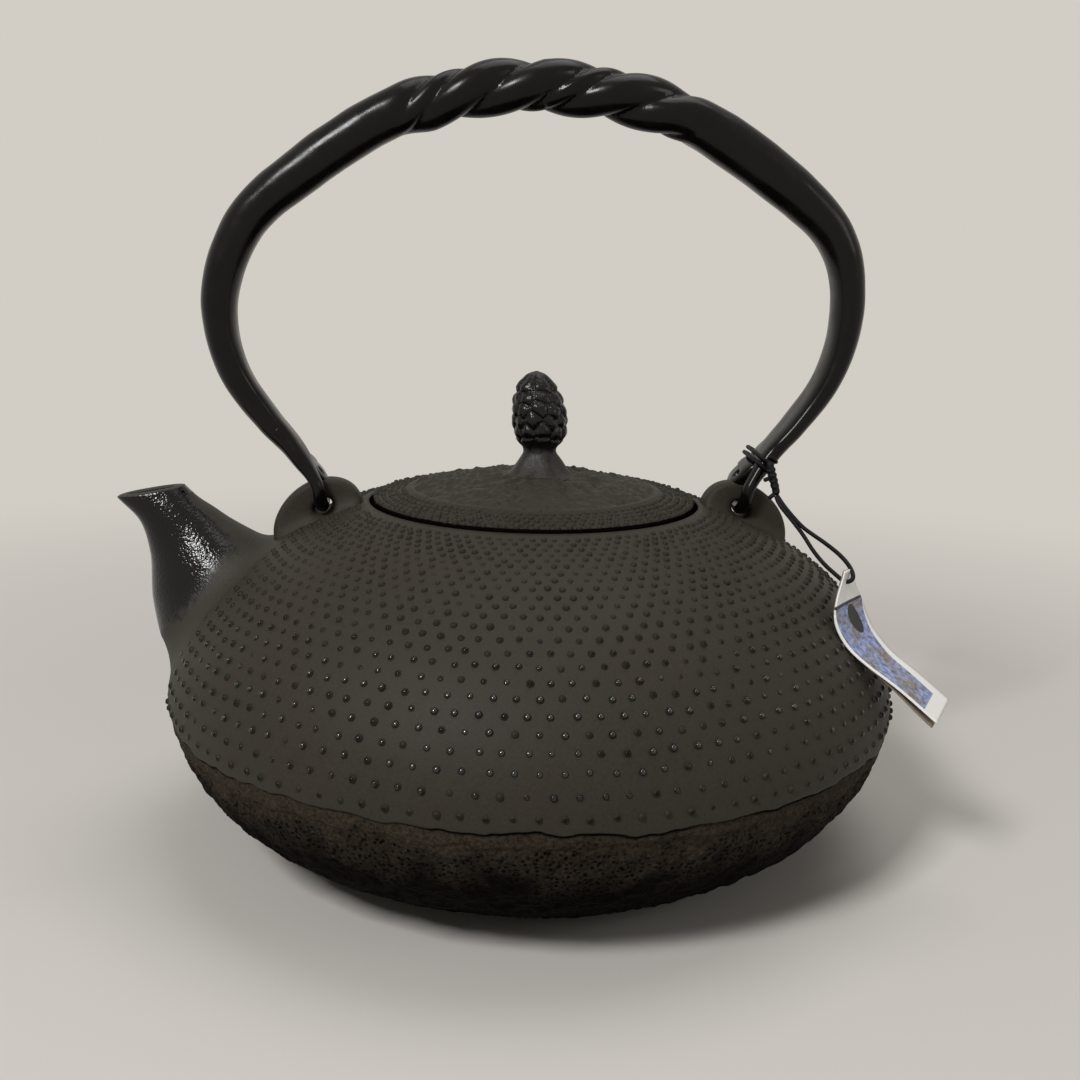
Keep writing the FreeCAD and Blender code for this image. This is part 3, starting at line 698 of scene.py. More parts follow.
def tag_leaf(line, half_width, offset, peel, thickness, cup):
    """A curled strip of paper as a closed sheet, and its points' places on the flat strip.

    Each row crosses the line, turned about it by a twist that dies out; its width grows from a point at
    the hole to the full width, cup lifts the edges off the middle, peel bends the free end away from the
    line, and the sheet is given its thickness along its own normal.
    """
    along = headings(line)
    normal = np.stack([-along[:, 1], along[:, 0]], -1)
    run = running(line)
    across = np.linspace(-1, 1, 15)
    width = half_width * (0.22 + 0.78 * ease(-2, 12, run))
    twist = np.radians(14 - 10.5 * ease(12, 30, run))[:, None]
    centre = (offset - peel * ease(22, 44, run))[:, None]
    bow = cup * across ** 2 * np.sin(np.linspace(0.2, np.pi, len(line)))[:, None]
    rings = []
    flats = []
    for side in (1, -1):
        spread = width[:, None] * across * side
        lift = side * thickness / 2 + bow
        level = spread * np.cos(twist) - lift * np.sin(twist)
        rise = centre + spread * np.sin(twist) + lift * np.cos(twist)
        out, height = line[:, :1] + normal[:, :1] * rise, line[:, 1:] + normal[:, 1:] * rise
        rings.append(np.stack([out, level, height], -1))
        flats.append(np.stack([spread, np.broadcast_to(run[:, None], spread.shape)], -1))
    flat = np.concatenate(flats, axis=1)
    turn = np.array([[np.cos(TAG_TURN), np.sin(TAG_TURN), 0], [-np.sin(TAG_TURN), np.cos(TAG_TURN), 0],
                     [0, 0, 1]])
    ends = flat[[0, -1]].mean(1)
    return skin(np.concatenate(rings, axis=1) @ turn), np.concatenate([flat.reshape(-1, 2), ends])


class TEAPOT_OT_tag(bpy.types.Operator):
    """Curl the two leaves of the paper tag"""
    bl_idname = "teapot.tag"
    bl_label = "Tag"

    def execute(self, context):
        cord = plain(context.scene.teapot_cord)
        line = through(TAG_LINE, 60)
        front, flat = tag_leaf(line, cord.tag_width / 2, offset=1.3, peel=0.0, thickness=0.3, cup=0.35)
        make_piece("tag_front", [front], "coated_paper", "tag", ["hang_tag"], flat)
        back, _ = tag_leaf(line, cord.tag_width / 2 - 1.3, offset=0.97, peel=1.7, thickness=0.3, cup=-0.1)
        make_piece("tag_back", [back], "kraft_paper", "tag")
        return {"FINISHED"}


# Pot
EDGE_RADIUS = 92
# Lip under the dome: radius, and height over the ragged edge
POT_LIP = ((92.5, 0.4), (92.45, 0.1), (92.3, -0.15), (92.0, -0.28), (91.6, -0.3), (91.1, -0.15), (90.6, 0.2),
           (89.6, 0.3))
# Collar, seats and mouth inside the dome: radius and height
POT_MOUTH = ((50.5, 77.0), (36.0, 77.0), (35.6, 77.4), (35.6, 81.6), (36.0, 82.0), (38.3, 82.0), (38.6, 82.3),
             (38.6, 83.2), (38.8, 83.4), (41.8, 83.4), (42.1, 83.7), (42.1, 86.9))
# Sides of a dot, and its rings from foot to top: share of its radius and of its height
DOT_SIDES = 7
DOT_SHAPE = ((1.0, -0.15), (0.8, 0.2), (0.62, 0.72), (0.4, 0.93))


def dome_height(pot, radius):
    """Height of the dome's ellipse over the foot at a distance from the axis."""
    share = np.clip(1 - (radius / pot.belly_radius) ** 2, 0, 1)
    return pot.belly_height + pot.shoulder_rise * np.sqrt(share)


def ellipsoid_normal(points, radius, rise, height):
    """Unit normals at points on an ellipsoid about the pot's axis."""
    return unit((points - [0, 0, height]) / [radius ** 2, radius ** 2, rise ** 2])


def dome_normal(pot, points):
    """Unit normals of the dome's ellipse at points on it."""
    return ellipsoid_normal(points, pot.belly_radius, pot.shoulder_rise, pot.belly_height)


def onto_dome(pot, points):
    """Points drawn in or out towards the middle of the belly until they lie on the dome."""
    middle = np.array([0, 0, pot.belly_height])
    spots = points - middle
    scaled = spots / [pot.belly_radius, pot.belly_radius, pot.shoulder_rise]
    return middle + spots / np.linalg.norm(scaled, axis=-1)[..., None]


def edge_drop(angle):
    """How far the ragged edge hangs below the belly, round the pot, in millimetres."""
    ring = polar(EDGE_RADIUS, angle, 0.0)
    return (-0.35 + 0.9 * lattice_noise(ring, 26, 11) + 0.55 * roughness(ring, 7, 12, 3)
            + 0.3 * lattice_noise(ring, 2.8, 15))


def pot_dome_grid(pot):
    """The dome as a closed ring, and its painted shade: outer ellipse, ragged lip, inner ellipse and mouth.

    Rows are a share of the way from mouth to edge; the edge follows edge_drop, and slow noise waves the
    skin. The mouth's wall is painted black as shade in the gap round the lid.
    """
    columns, rows = 480, 64
    angle = bearings(columns)
    edge = pot.belly_height + edge_drop(angle)
    tilt = np.linspace(np.arccos(pot.mouth_radius / pot.belly_radius), 0.02, rows)
    outer = turned(arc(pot.belly_radius, pot.shoulder_rise, pot.belly_height, tilt), columns)
    wave = 0.1 * roughness(outer, 13, 3, 2) + 0.05 * lattice_noise(outer, 4, 5)
    wave = wave * ease(0, 0.1, np.linspace(0, 1, rows))[:, None]
    outer = outer + dome_normal(pot, outer) * wave[..., None]
    lip = np.stack([polar(radius, angle, edge + drop) for radius, drop in POT_LIP])
    inner_radius = pot.belly_radius - pot.wall
    inner = arc(inner_radius, pot.shoulder_rise - pot.wall, pot.belly_height, np.linspace(0.0, 0.845, 18))
    inside = turned([(inner_radius, pot.belly_height - 1.5), *inner, *POT_MOUTH], columns)
    grid = np.concatenate([outer, lip, inside])
    painted_shade = np.zeros(grid.shape[:2])
    # Painted shade on the mouth's wall, in the gap round the lid
    painted_shade[-3:] = 1
    return grid, {"painted_shade": painted_shade.ravel()}


def pot_bowl_grid(pot):
    """The bowl: inner wall, outer ellipse and flat foot as one surface, and the painted shade in its crack.

    Its skin is rough: broad lumps, ridges where a noise crosses nought, and grit; it has a smoother band
    of uneven depth just under the ragged edge. The crack's painted shade follows that edge and is fainter in
    places.
    """
    columns = 640
    angle = bearings(columns)
    ring = polar(EDGE_RADIUS, angle, 0.0)
    tilt = np.linspace(0.0, 1.0, 110) ** 1.25 * np.arcsin(pot.belly_height / pot.bowl_drop)
    grid = turned(arc(pot.skirt_radius, -pot.bowl_drop, pot.belly_height, tilt), columns)
    depth = pot.belly_height - grid[..., 2]
    band_depth = 4.6 + 1.2 * lattice_noise(ring, 17, 21) + 0.8 * roughness(ring, 5, 22, 3)
    under = ease(-0.5, 0.6, depth - band_depth)
    ridge = 1 - np.abs(roughness(grid, 5.5, 31, 3)) * 2.2
    grit = roughness(grid, 2.6, 41, 2)
    lumps = roughness(grid, 16, 51, 2)
    lift = under * (0.34 * ridge + 0.3 * grit + 0.35 * lumps - 0.75) + (1 - under) * 0.16 * grit
    lift = lift * ease(0, 4, grid[..., 2])
    normal = ellipsoid_normal(grid, pot.skirt_radius, pot.bowl_drop, pot.belly_height)
    grid = grid + normal * lift[..., None]
    grid[-1, :, 2] = 0.25
    foot = turned([(52.6, 0.0), (50.0, 0.0), (30.0, 0.0), (6.0, 0.0)], columns)
    inner_drop = pot.bowl_drop - pot.wall
    inner_tilt = np.linspace(np.arcsin((pot.belly_height - pot.wall) / inner_drop), 0.0, 26)
    inner = arc(pot.skirt_radius - pot.wall, -inner_drop, pot.belly_height, inner_tilt)
    inside = turned([(6.0, pot.wall), (30.0, pot.wall), *inner], columns)
    below = pot.belly_height + edge_drop(angle) - 0.3 - grid[..., 2]
    open_here = 0.35 + 0.65 * ease(-0.3, 0.3, lattice_noise(ring, 11, 24))
    rows = np.concatenate([inside[::-1], grid, foot])
    crack_shade = np.zeros(rows.shape[:2])
    # Painted shade under the overhanging lip, fainter in places
    crack_shade[len(inside):len(inside) + len(grid)] = open_here * (1 - ease(0.35, 0.8, below))
    return rows, {"painted_shade": np.append(crack_shade.ravel(), [0, 0])}


SPOUT_COLUMNS = 112
SPOUT_STEPS = 240
SPOUT_POWER = 2 / 2.25
# Spout stations from lip to root: centre x and z, length in the XZ plane, width along Y, lean from level
SPOUT_STATIONS = (
    (-96.3, 89.2, 17.0, 9.6, 10.0), (-92.4, 85.1, 15.2, 13.0, 22.5), (-89.1, 79.6, 19.2, 16.8, 34.4),
    (-86.5, 71.6, 28.4, 24.0, 44.9), (-80.9, 63.5, 37.3, 33.0, 45.5), (-67.0, 54.0, 46.0, 42.0, 52.0),
)


def spout_rings(inset, columns=SPOUT_COLUMNS):
    """Rings of the spout from lip to root: squarish ovals through the stations, smaller by the inset."""
    x, z, long, wide, lean = through(SPOUT_STATIONS, SPOUT_STEPS).T
    angle = bearings(columns)
    u = (long / 2 - inset)[:, None] * bulged(np.cos(angle), SPOUT_POWER)
    v = (wide / 2 - inset)[:, None] * bulged(np.sin(angle), SPOUT_POWER)
    lean = np.radians(lean)[:, None]
    return np.stack([x[:, None] + u * np.cos(lean), v, z[:, None] + u * np.sin(lean)], -1)


def row_where(values):
    """For each column, the fractional row at which its values first go from positive to negative."""
    row = np.argmax(values < 0, axis=0)
    column = np.arange(values.shape[1])
    above, below = values[row - 1, column], values[row, column]
    return row - 1 + above / (above - below)


def at_rows(grid, rows):
    """Points of a grid at fractional rows, straight between neighbours; rows is (any, columns)."""
    low = np.clip(np.floor(rows).astype(int), 0, len(grid) - 2)
    share = (rows - low)[..., None]
    column = np.arange(grid.shape[1])
    return grid[low, column] * (1 - share) + grid[low + 1, column] * share


def outside(points, radius, rise, height):
    """Above nought outside an ellipsoid about the pot's axis, below nought inside it."""
    x, y, z = np.moveaxis(points, -1, 0)
    return (x ** 2 + y ** 2) / radius ** 2 + ((z - height) / rise) ** 2 - 1


def spout_grid(pot, spout):
    """The spout as a closed ring, the share of lacquer on each point, and where it lands on the dome.

    Outer rings run from the lip to where they meet the dome; there each column turns out along the dome
    in a quadratic curve. A round rim leads into the bore, which ends just inside the pot's wall.
    """
    outer = spout_rings(0.0)
    meet = row_where(outside(outer, pot.belly_radius, pot.shoulder_rise, pot.belly_height))
    joint = at_rows(outer, meet[None])[0]
    step = np.linalg.norm(np.diff(outer, axis=0), axis=-1).mean(0)
    angle = bearings(SPOUT_COLUMNS)
    reach = spout.fillet * (0.68 - 0.28 * np.cos(angle))
    share = np.linspace(0, 1, 60)[:, None]
    body = at_rows(outer, share * (meet - reach / step))
    normal = dome_normal(pot, joint)
    away = joint - at_rows(outer, np.clip(meet, 0, SPOUT_STEPS - 2)[None])[0].mean(0)
    away = unit(away - normal * np.einsum("ij,ij->i", away, normal)[:, None])
    landing = onto_dome(pot, joint + away * reach[:, None])
    t = np.linspace(0, 1, 14)[1:, None, None]
    curve = (1 - t) ** 2 * body[-1] + 2 * t * (1 - t) * joint + t ** 2 * landing
    curve = curve - dome_normal(pot, landing) * (0.1 * t ** 3)
    widen = ease(0, 60, np.arange(SPOUT_STEPS))[:, None, None]
    bore = spout_rings(spout.lip_wall) * (1 - widen) + spout_rings(spout.wall) * widen
    inner = outside(bore, pot.belly_radius - pot.wall, pot.shoulder_rise - pot.wall, pot.belly_height)
    inner_end = row_where(inner) + 1.2 / step
    tunnel = at_rows(bore, np.linspace(0.0, 1, 40)[:, None] * inner_end)
    sleeve = at_rows(spout_rings(0.5), inner_end[None])
    lean = np.radians(SPOUT_STATIONS[0][4])
    up = np.array([-np.sin(lean), 0, np.cos(lean)])
    turn = np.linspace(0, np.pi, 9)[1:-1, None, None]
    rim = (body[0] + tunnel[0]) / 2 + (body[0] - tunnel[0]) / 2 * np.cos(turn) + up * 0.45 * np.sin(turn)
    grid = np.concatenate([curve[::-1], body[::-1], rim, tunnel, sleeve])
    ridge = ease(0.7, 1.0, np.cos(angle))
    way = np.concatenate([share, 1 + 0.24 * t[:, :, 0]])
    low_end = 1.05 - 0.06 * np.clip(-np.cos(angle), 0, 1) - 0.1 * np.clip(np.cos(angle), 0, 1)
    cover = (1 - ridge * ease(0.06, 0.2, way)) * (1 - ease(low_end - 0.17, low_end + 0.15, way))
    lacquer = np.zeros(grid.shape[:2])
    lacquer[:len(way)] = cover[::-1]
    lacquer[len(way):len(way) + len(rim) + 3] = 0.3
    return grid, {"lacquer": lacquer.ravel()}, landing


def ear_grid(pot, side):
    """An ear as a closed ring: a disc pierced by its hole, flared where it meets the dome.

    Across each ray from the hole's middle the half thickness is that of a squared oval; it grows by a
    falling exponential of the height over the dome. The disc leans inwards in proportion to its height.
    """
    columns, rows = 96, 44
    centre, hole = np.array([54.9, 82.3]), np.array([54.7, 86.1])
    disc_radius, hole_radius, half_thickness = 10.8, 2.1, 3.0
    lean, power = 0.3, 2 / 4.5
    angle = bearings(columns)
    ray = np.stack([np.cos(angle), np.sin(angle)], -1)
    offset = hole - centre
    dot = ray @ offset
    far = -dot + np.sqrt(dot ** 2 - offset @ offset + disc_radius ** 2)
    turn = bearings(rows)
    across = 0.5 - 0.5 * bulged(np.cos(turn), power)
    thick = half_thickness * bulged(np.sin(turn), power)
    reach = hole_radius + (far - hole_radius) * across[:, None]
    flat = hole + ray * reach[..., None]
    flat[..., 0] -= lean * (flat[..., 1] - centre[1])
    over = flat[..., 1] - dome_height(pot, flat[..., 0])
    flare = 1 + 0.55 * np.exp(-np.clip(over, 0, None) / 1.8)
    return np.stack([side * flat[..., 0], thick[:, None] * flare, flat[..., 1]], -1)


def dot_skin(places, normals, radii, heights, polish_and_shade):
    """Small raised dots with closed feet, and the polish of each point.

    Each dot is a stack of rings with the shares of its radius and height that DOT_SHAPE gives, under a
    tip. A point's polish is its share of the height times the dot's own; it sets the gloss and the painted
    shade on the dot's top.
    """
    shape = np.array(DOT_SHAPE)
    helper = np.where(np.abs(normals[:, 2:]) < 0.9, [[0, 0, 1.0]], [[1.0, 0, 0]])
    first = unit(np.cross(helper, normals))
    ring = crossed(first, np.cross(normals, first), bearings(DOT_SIDES))
    wide = shape[:, 0][None, :, None, None] * radii[:, None, None, None]
    high = shape[:, 1][None, :, None, None] * heights[:, None, None, None]
    rings = places[:, None, None] + ring[:, None] * wide + normals[:, None, None] * high
    tips = places + normals * heights[:, None]
    points = np.concatenate([rings.reshape(len(places), -1, 3), tips[:, None]], 1).reshape(-1, 3)
    index = np.arange(len(shape) * DOT_SIDES).reshape(len(shape), DOT_SIDES)
    caps = np.stack([index[-1], np.roll(index[-1], -1), np.full(DOT_SIDES, index.size)], -1)
    start = (np.arange(len(places)) * (index.size + 1))[:, None, None]
    faces = [(group + start).reshape(-1, group.shape[1])
             for group in (strip(index[:-1], index[1:]), caps, index[:1, ::-1])]
    tip = np.outer(polish_and_shade, np.append(np.repeat(shape[:, 1], DOT_SIDES), 1.0))
    return (points, faces), {"tip": tip.ravel()}


def clear_of(places, ring):
    """How far places lie outside a ring of points on the dome: below 1 within it, 1 on it, 9 behind it.

    Places and ring are seen along the ring's own middle direction and compared at equal bearings.
    """
    middle = ring.mean(0)
    look = unit(middle)
    first = unit(np.cross([0, 0, 1.0], look))
    axes = np.stack([first, np.cross(look, first)], -1)
    edge = (ring - middle) @ axes
    spots = (places - middle) @ axes
    edge_angle = np.arctan2(edge[:, 1], edge[:, 0])
    order = np.argsort(edge_angle)
    limit = np.interp(np.arctan2(spots[:, 1], spots[:, 0]), edge_angle[order],
                      np.hypot(edge[:, 0], edge[:, 1])[order], period=FULL_TURN)
    near = np.hypot(spots[:, 0], spots[:, 1]) / limit
    return np.where(places @ look > 0, near, 9.0)


def dome_dots(pot, landing):
    """Staggered rings of dots up the dome, each ring as far from the last as its spacing asks for.

    Spacing shrinks with the ring's radius, and the lowest rings lie wider apart. Dots shift and differ a
    little at random, some are worn low, and they fade towards the spout and the ears. Those on the belly
    are polished most.
    """
    first_rise, last_radius, least_strength = 2.4, 43.4, 0.12
    wide_rings, wide_gap, ring_gap = 3, 0.88, 0.74
    ear_place, ear_reach = 55, (14, 6)
    rows = []
    tilt = np.arcsin(first_rise / pot.shoulder_rise)
    while pot.belly_radius * np.cos(tilt) > last_radius:
        rows.append(tilt)
        pitch = pot.belly_radius * np.cos(tilt) * FULL_TURN / pot.dots_per_ring
        stretch = np.hypot(pot.belly_radius * np.sin(tilt), pot.shoulder_rise * np.cos(tilt))
        tilt += pitch * (wide_gap if len(rows) < wide_rings else ring_gap) / stretch
    rows = np.array(rows)
    chance = np.random.default_rng(7)
    shape = (len(rows), pot.dots_per_ring)
    bearing = (np.arange(pot.dots_per_ring)[None] + 0.5 * (np.arange(len(rows)) % 2)[:, None]
               + chance.normal(0, 0.05, shape)) * FULL_TURN / pot.dots_per_ring
    height = rows[:, None] + chance.normal(0, 0.002, shape)
    radius = pot.belly_radius * np.cos(height)
    places = polar(radius, bearing, pot.belly_height + pot.shoulder_rise * np.sin(height)).reshape(-1, 3)
    scale = ((radius / pot.belly_radius) ** 0.35).ravel()
    worn = np.clip(chance.normal(0.86, 0.24, len(places)), 0.25, 1.2)
    strength = worn * ease(0.98, 1.2, clear_of(places, landing))
    for side in (-1, 1):
        near = np.hypot((places[:, 0] - side * ear_place) / ear_reach[0], places[:, 1] / ear_reach[1])
        strength = strength * ease(0.85, 1.3, near)
    keep = strength > least_strength
    places, scale, strength = places[keep], scale[keep], strength[keep]
    level = places[:, 2]
    # Polish gives the dots their gloss and their dark tops, which are partly painted shade; both are less on
    # the upper rows and the lowest rows
    polish_and_shade = (1 - 0.8 * ease(62, 80, level)) * (0.6 + 0.4 * ease(40, 50, level))
    polish_and_shade = polish_and_shade * np.clip(chance.normal(0.92, 0.3, len(places)), 0.1, 1)
    return dot_skin(places, dome_normal(pot, places), pot.dot_radius * scale * (0.7 + 0.3 * strength),
                    pot.dot_height * scale * strength, polish_and_shade)


def bore_through(dome, spout):
    """Cut the spout's way through the dome's wall with a plug a little wider than the bore."""
    columns, spare, first_ring, ring_step = 48, 1.0, 150, 6
    points, faces = skin(spout_rings(spout.wall - spare, columns)[first_ring::ring_step])
    mesh = bpy.data.meshes.new("plug")
    mesh.from_pydata((points * MM).tolist(), [], [f for group in faces for f in group.tolist()])
    cut = dome.modifiers.new("bore", "BOOLEAN")
    cut.object = placed("plug", mesh)
    cut.operation = "DIFFERENCE"
    cut.solver = "EXACT"
    cut_mesh = evaluated_mesh(dome)
    dome.modifiers.remove(cut)
    old = dome.data
    dome.data = cut_mesh
    bpy.data.meshes.remove(old)
    cut_mesh.name = dome.name
    bpy.data.meshes.remove(mesh)


class TEAPOT_OT_pot(bpy.types.Operator):
    """Cast the pot: dome, bowl, spout, ears and dots"""
    bl_idname = "teapot.pot"
    bl_label = "Pot"

    def execute(self, context):
        pot = plain(context.scene.teapot_pot)
        spout = plain(context.scene.teapot_spout)
        grid, lacquer, landing = spout_grid(pot, spout)
        shell, soot = pot_dome_grid(pot)
        dome = make_piece("pot_dome", [skin(shell, True)], "sand_cast_iron", "pot",
                          ["kettle_body"], values=soot)
        bore_through(dome, spout)
        bowl, crack_shade = pot_bowl_grid(pot)
        make_piece("pot_bowl", [skin(bowl)], "burnt_iron_crust", "pot", values=crack_shade)
        make_piece("pot_spout", [skin(grid, True)], "spout_lacquer", "pot", values=lacquer)
        ears = [skin(ear_grid(pot, side), True) for side in (-1, 1)]
        make_piece("pot_ears", ears, "sand_cast_iron", "pot")
        dots, tips = dome_dots(pot, landing)
        make_piece("pot_dots", [dots], "rubbed_iron_and_shade", "pot", values=tips)
        return {"FINISHED"}


# Lid and knob
LID_FLAT = 8.6
LID_RIDGE = 31.6
# Side, flange and underside of the lid: radius and height
LID_UNDER = ((41.3, 84.0), (40.9, 83.4), (32.0, 83.4), (32.0, 76.9), (31.6, 76.5), (29.4, 76.5), (29.0, 76.9),
             (29.0, 84.2), (18.0, 87.4), (7.5, 90.0), (1.0, 90.0))
# Foot, neck and cone of the knob: radius and height
KNOB_PROFILE = (
    (9.0, 93.9), (7.8, 95.0), (6.4, 96.6), (5.1, 98.6), (4.2, 100.4), (4.3, 101.2),
    (5.2, 102.4), (6.1, 103.8), (6.6, 105.8), (6.8, 108.2), (6.7, 110.8), (6.2, 113.4),
    (5.3, 115.8), (4.0, 118.2), (2.3, 120.0), (0.5, 120.7),
)


def lid_height(lid, radius):
    """Height of the lid's top: level under the knob, then falling as a power of the way to the edge."""
    share = np.clip((radius - LID_FLAT) / (lid.edge_radius - LID_FLAT), 0, 1)
    return lid.top - (lid.top - lid.edge_height) * share ** 1.35


def lid_grid(lid):
    """The lid as one surface from the middle of its top to the middle of its underside, and its painted
    shade.

    Its middle is left rough and wavy inside a low ridge; a dotted rim follows, with a little painted shade
    between the dots, and its side is painted black as shade in the gap round the lid.
    """
    columns, edge_round = 400, 0.5
    bend = np.linspace(0.2, np.pi / 2, 6)
    radius = np.concatenate([np.linspace(1.0, lid.edge_radius - edge_round, 110),
                             lid.edge_radius - edge_round * (1 - np.sin(bend))])
    height = lid_height(lid, radius)
    height[-len(bend):] -= edge_round * (1 - np.cos(bend))
    height += 0.35 * np.exp(-((radius - LID_RIDGE) / 0.8) ** 2)
    top = turned(np.stack([radius, height], -1), columns)
    calm = ease(29.5, 31.5, radius)[:, None] + 1 - ease(7.5, 10, radius)[:, None]
    wave = (0.65 * roughness(top, 2.4, 61, 2) + 0.55 * roughness(top, 1.4, 63, 1)
            + 0.3 * lattice_noise(top, 9, 65))
    top[..., 2] += wave * (1 - np.clip(calm, 0, 1)) + 0.05 * lattice_noise(top, 3, 66)
    grid = np.concatenate([top, turned(LID_UNDER, columns)])
    painted_shade = np.zeros(grid.shape[:2])
    # A little painted shade between the rim's dots
    painted_shade[:len(top)] = 0.22 * ease(31.5, 33, radius)[:, None]
    # Painted shade: the lid's side in the gap is black
    painted_shade[len(top) - len(bend):len(top) + 2] = 1
    return grid, {"painted_shade": np.append(painted_shade.ravel(), [0, 0])}


def lid_dots(lid):
    """Rings of small staggered dots inside the lid's edge, lower towards the middle."""
    per_ring, ring_gap, edge_gap = 104, 1.75, 1.0
    dot_radius, dot_height, polish_and_shade = 0.88, 0.72, 0.06
    chance = np.random.default_rng(17)
    rings = np.arange(lid.dot_rings)
    radius = lid.edge_radius - edge_gap - ring_gap * rings
    bearing = (np.arange(per_ring)[None] + 0.5 * (rings % 2)[:, None]
               + chance.normal(0, 0.06, (len(rings), per_ring))) * FULL_TURN / per_ring
    radius = radius[:, None] + chance.normal(0, 0.08, bearing.shape)
    places = polar(radius, bearing, lid_height(lid, radius)).reshape(-1, 3)
    normals = unit(np.concatenate([places[:, :2] * 0.006, np.ones((len(places), 1))], 1))
    fade = np.repeat(np.linspace(1.0, 0.55, lid.dot_rings), per_ring)
    worn = np.clip(chance.normal(0.85, 0.22, len(places)), 0.3, 1.2) * fade
    return dot_skin(places, normals, dot_radius * (0.7 + 0.3 * worn), dot_height * worn,
                    np.full(len(places), polish_and_shade))


def knob_grid(lid):
    """Pine cone on a flared foot: a turned profile with scales in staggered, uneven rows; its lacquer.

    Each point belongs to the nearest scale. Its height grows with how much nearer that scale is than the
    next, so every scale is a rounded lump in a sharp groove, and its lower end hangs out. The cone leans
    to the left, and its lacquer is thin at the foot.
    """
    columns, scale_width, row_gap = 128, 4.2, 2.9
    profile = through(KNOB_PROFILE, 150)
    grid = turned(profile, columns)
    height = profile[:, 1:]
    angle = bearings(columns)
    chance = np.random.default_rng(71)
    scales = []
    for order, level in enumerate(np.arange(102.8, 120, row_gap)):
        girth = np.interp(level, profile[:, 1], profile[:, 0])
        around = max(4, round(FULL_TURN * girth / scale_width))
        bearing = np.arange(around) + 0.5 * (order % 2) + chance.normal(0, 0.14, around)
        spot = level + chance.normal(0, 0.5, around)
        scales.append(polar(girth, bearing * FULL_TURN / around, spot))
    scales = np.concatenate(scales)
    gaps = np.linalg.norm(grid[:, :, None] - scales, axis=-1)
    first, second = np.moveaxis(np.sort(gaps, axis=-1)[..., :2], -1, 0)
    lump = np.clip((second - first) / 2.3, 0, 1) ** 0.55
    hang = scales[np.argmin(gaps, axis=-1), 2] - height
    cone = ease(101.6, 103.6, height) * (1 - 0.5 * ease(118.0, 120.6, height))
    lift = cone * (0.8 * lump - 0.45 + 0.1 * hang + 0.16 * lattice_noise(grid, 1.5, 75))
    foot = (1 - ease(97.4, 101.0, height)) * ease(93.9, 95.4, height)
    lift = lift + 0.42 * foot * np.cos(5 * angle + 0.4)[None]
    grid = grid + polar(1.0, angle, 0.0)[None] * lift[..., None]
    grid[..., 0] += lid.knob_shift - 1.2 * ease(105, 121, height)
    lacquer = np.broadcast_to(0.32 + 0.12 * ease(94.2, 96.6, height) + 0.3 * cone, grid.shape[:2])
    return grid, {"lacquer": np.append(lacquer.ravel(), [0, 1])}


class TEAPOT_OT_lid(bpy.types.Operator):
    """Make the lid, its dots and its pine cone knob"""
    bl_idname = "teapot.lid"
    bl_label = "Lid"

    def execute(self, context):
        lid = plain(context.scene.teapot_lid)
        plate, soot = lid_grid(lid)
        make_piece("lid_plate", [skin(plate)], "sand_cast_iron", "lid", ["lid"], values=soot)
        dots, tips = lid_dots(lid)
        make_piece("lid_dots", [dots], "rubbed_iron_and_shade", "lid", values=tips)
        cone, lacquer = knob_grid(lid)
        make_piece("knob_cone", [skin(cone)], "spout_lacquer", "lid", ["lid_knob"],
                   values=lacquer)
        return {"FINISHED"}


# Bail from the grip's middle to the tip of the right hook: place, thickness, depth along Y and how flat the
# inner face is, from 0, round, to 1
BAIL_ROWS = (
    (0.0, 0.0, 189.0, 9.6, 11.0, 0.2), (16.0, 0.0, 187.8, 10.0, 11.4, 0.2),
    (32.0, 0.0, 183.2, 11.2, 11.8, 0.2), (56.4, 0.0, 168.7, 11.0, 12.2, 0.1),
    (72.5, 0.0, 154.0, 10.0, 12.4, 0.1), (77.9, 0.0, 138.0, 8.8, 12.4, 0.2),
    (74.9, 0.0, 120.2, 7.0, 12.4, 0.6), (66.6, -0.1, 107.6, 5.8, 12.6, 1.0),
    (60.9, -1.2, 101.2, 5.0, 11.0, 0.9), (57.9, -3.6, 97.4, 4.4, 7.0, 0.6),
    (55.6, -5.6, 94.2, 3.3, 4.2, 0.2), (54.2, -6.5, 91.6, 3.1, 3.5, 0.0),
    (53.8, -5.9, 89.0, 3.3, 3.4, 0.0), (53.6, -3.6, 86.9, 3.4, 3.4, 0.0),
    (53.6, 0.0, 86.1, 3.3, 3.3, 0.0), (53.6, 2.8, 86.6, 3.2, 3.2, 0.0),
    (53.6, 5.2, 88.4, 3.0, 3.0, 0.0),
)
# Tongue behind the ear, from inside the right leg to its end
TONGUE_ROWS = (
    (65.6, 0.2, 106.4, 3.4, 11.0, 1.0), (60.3, 0.4, 101.2, 3.2, 11.2, 1.0),
    (57.4, 0.8, 98.2, 2.8, 11.4, 1.0), (55.5, 1.1, 96.4, 3.6, 11.4, 1.0),
    (54.4, 1.5, 94.9, 3.8, 10.6, 1.0), (53.2, 3.6, 93.6, 3.2, 6.4, 0.9),
    (52.0, 5.2, 92.0, 2.4, 3.6, 0.6),
)
TONGUE_EYE = np.array([52.6, -0.6, 95.0])


def lobe_radius(angle):
    """Radius of the twisted grip's section: two thick lobes and a thin one that meet in sharp valleys."""
    thick = np.radians(147)
    turn = np.mod(angle, FULL_TURN)
    lobe = np.minimum(turn // thick, 2)
    span = np.where(lobe < 2, thick, FULL_TURN - 2 * thick)
    share = (turn - lobe * thick) / span
    peak = np.where(lobe < 2, 6.7, 5.7)
    return 4.5 + (peak - 4.5) * np.sin(np.pi * np.clip(share, 0, 1)) ** 0.72


def strap_frame(rows, steps):
    """A path and its section sizes at even steps, with the side and outward axes of each section."""
    path = through(rows, steps, 3)
    along = headings(path[:, :3])
    side = carried(along, np.array([0, 1.0, 0]))
    return path, side, np.cross(along, side)


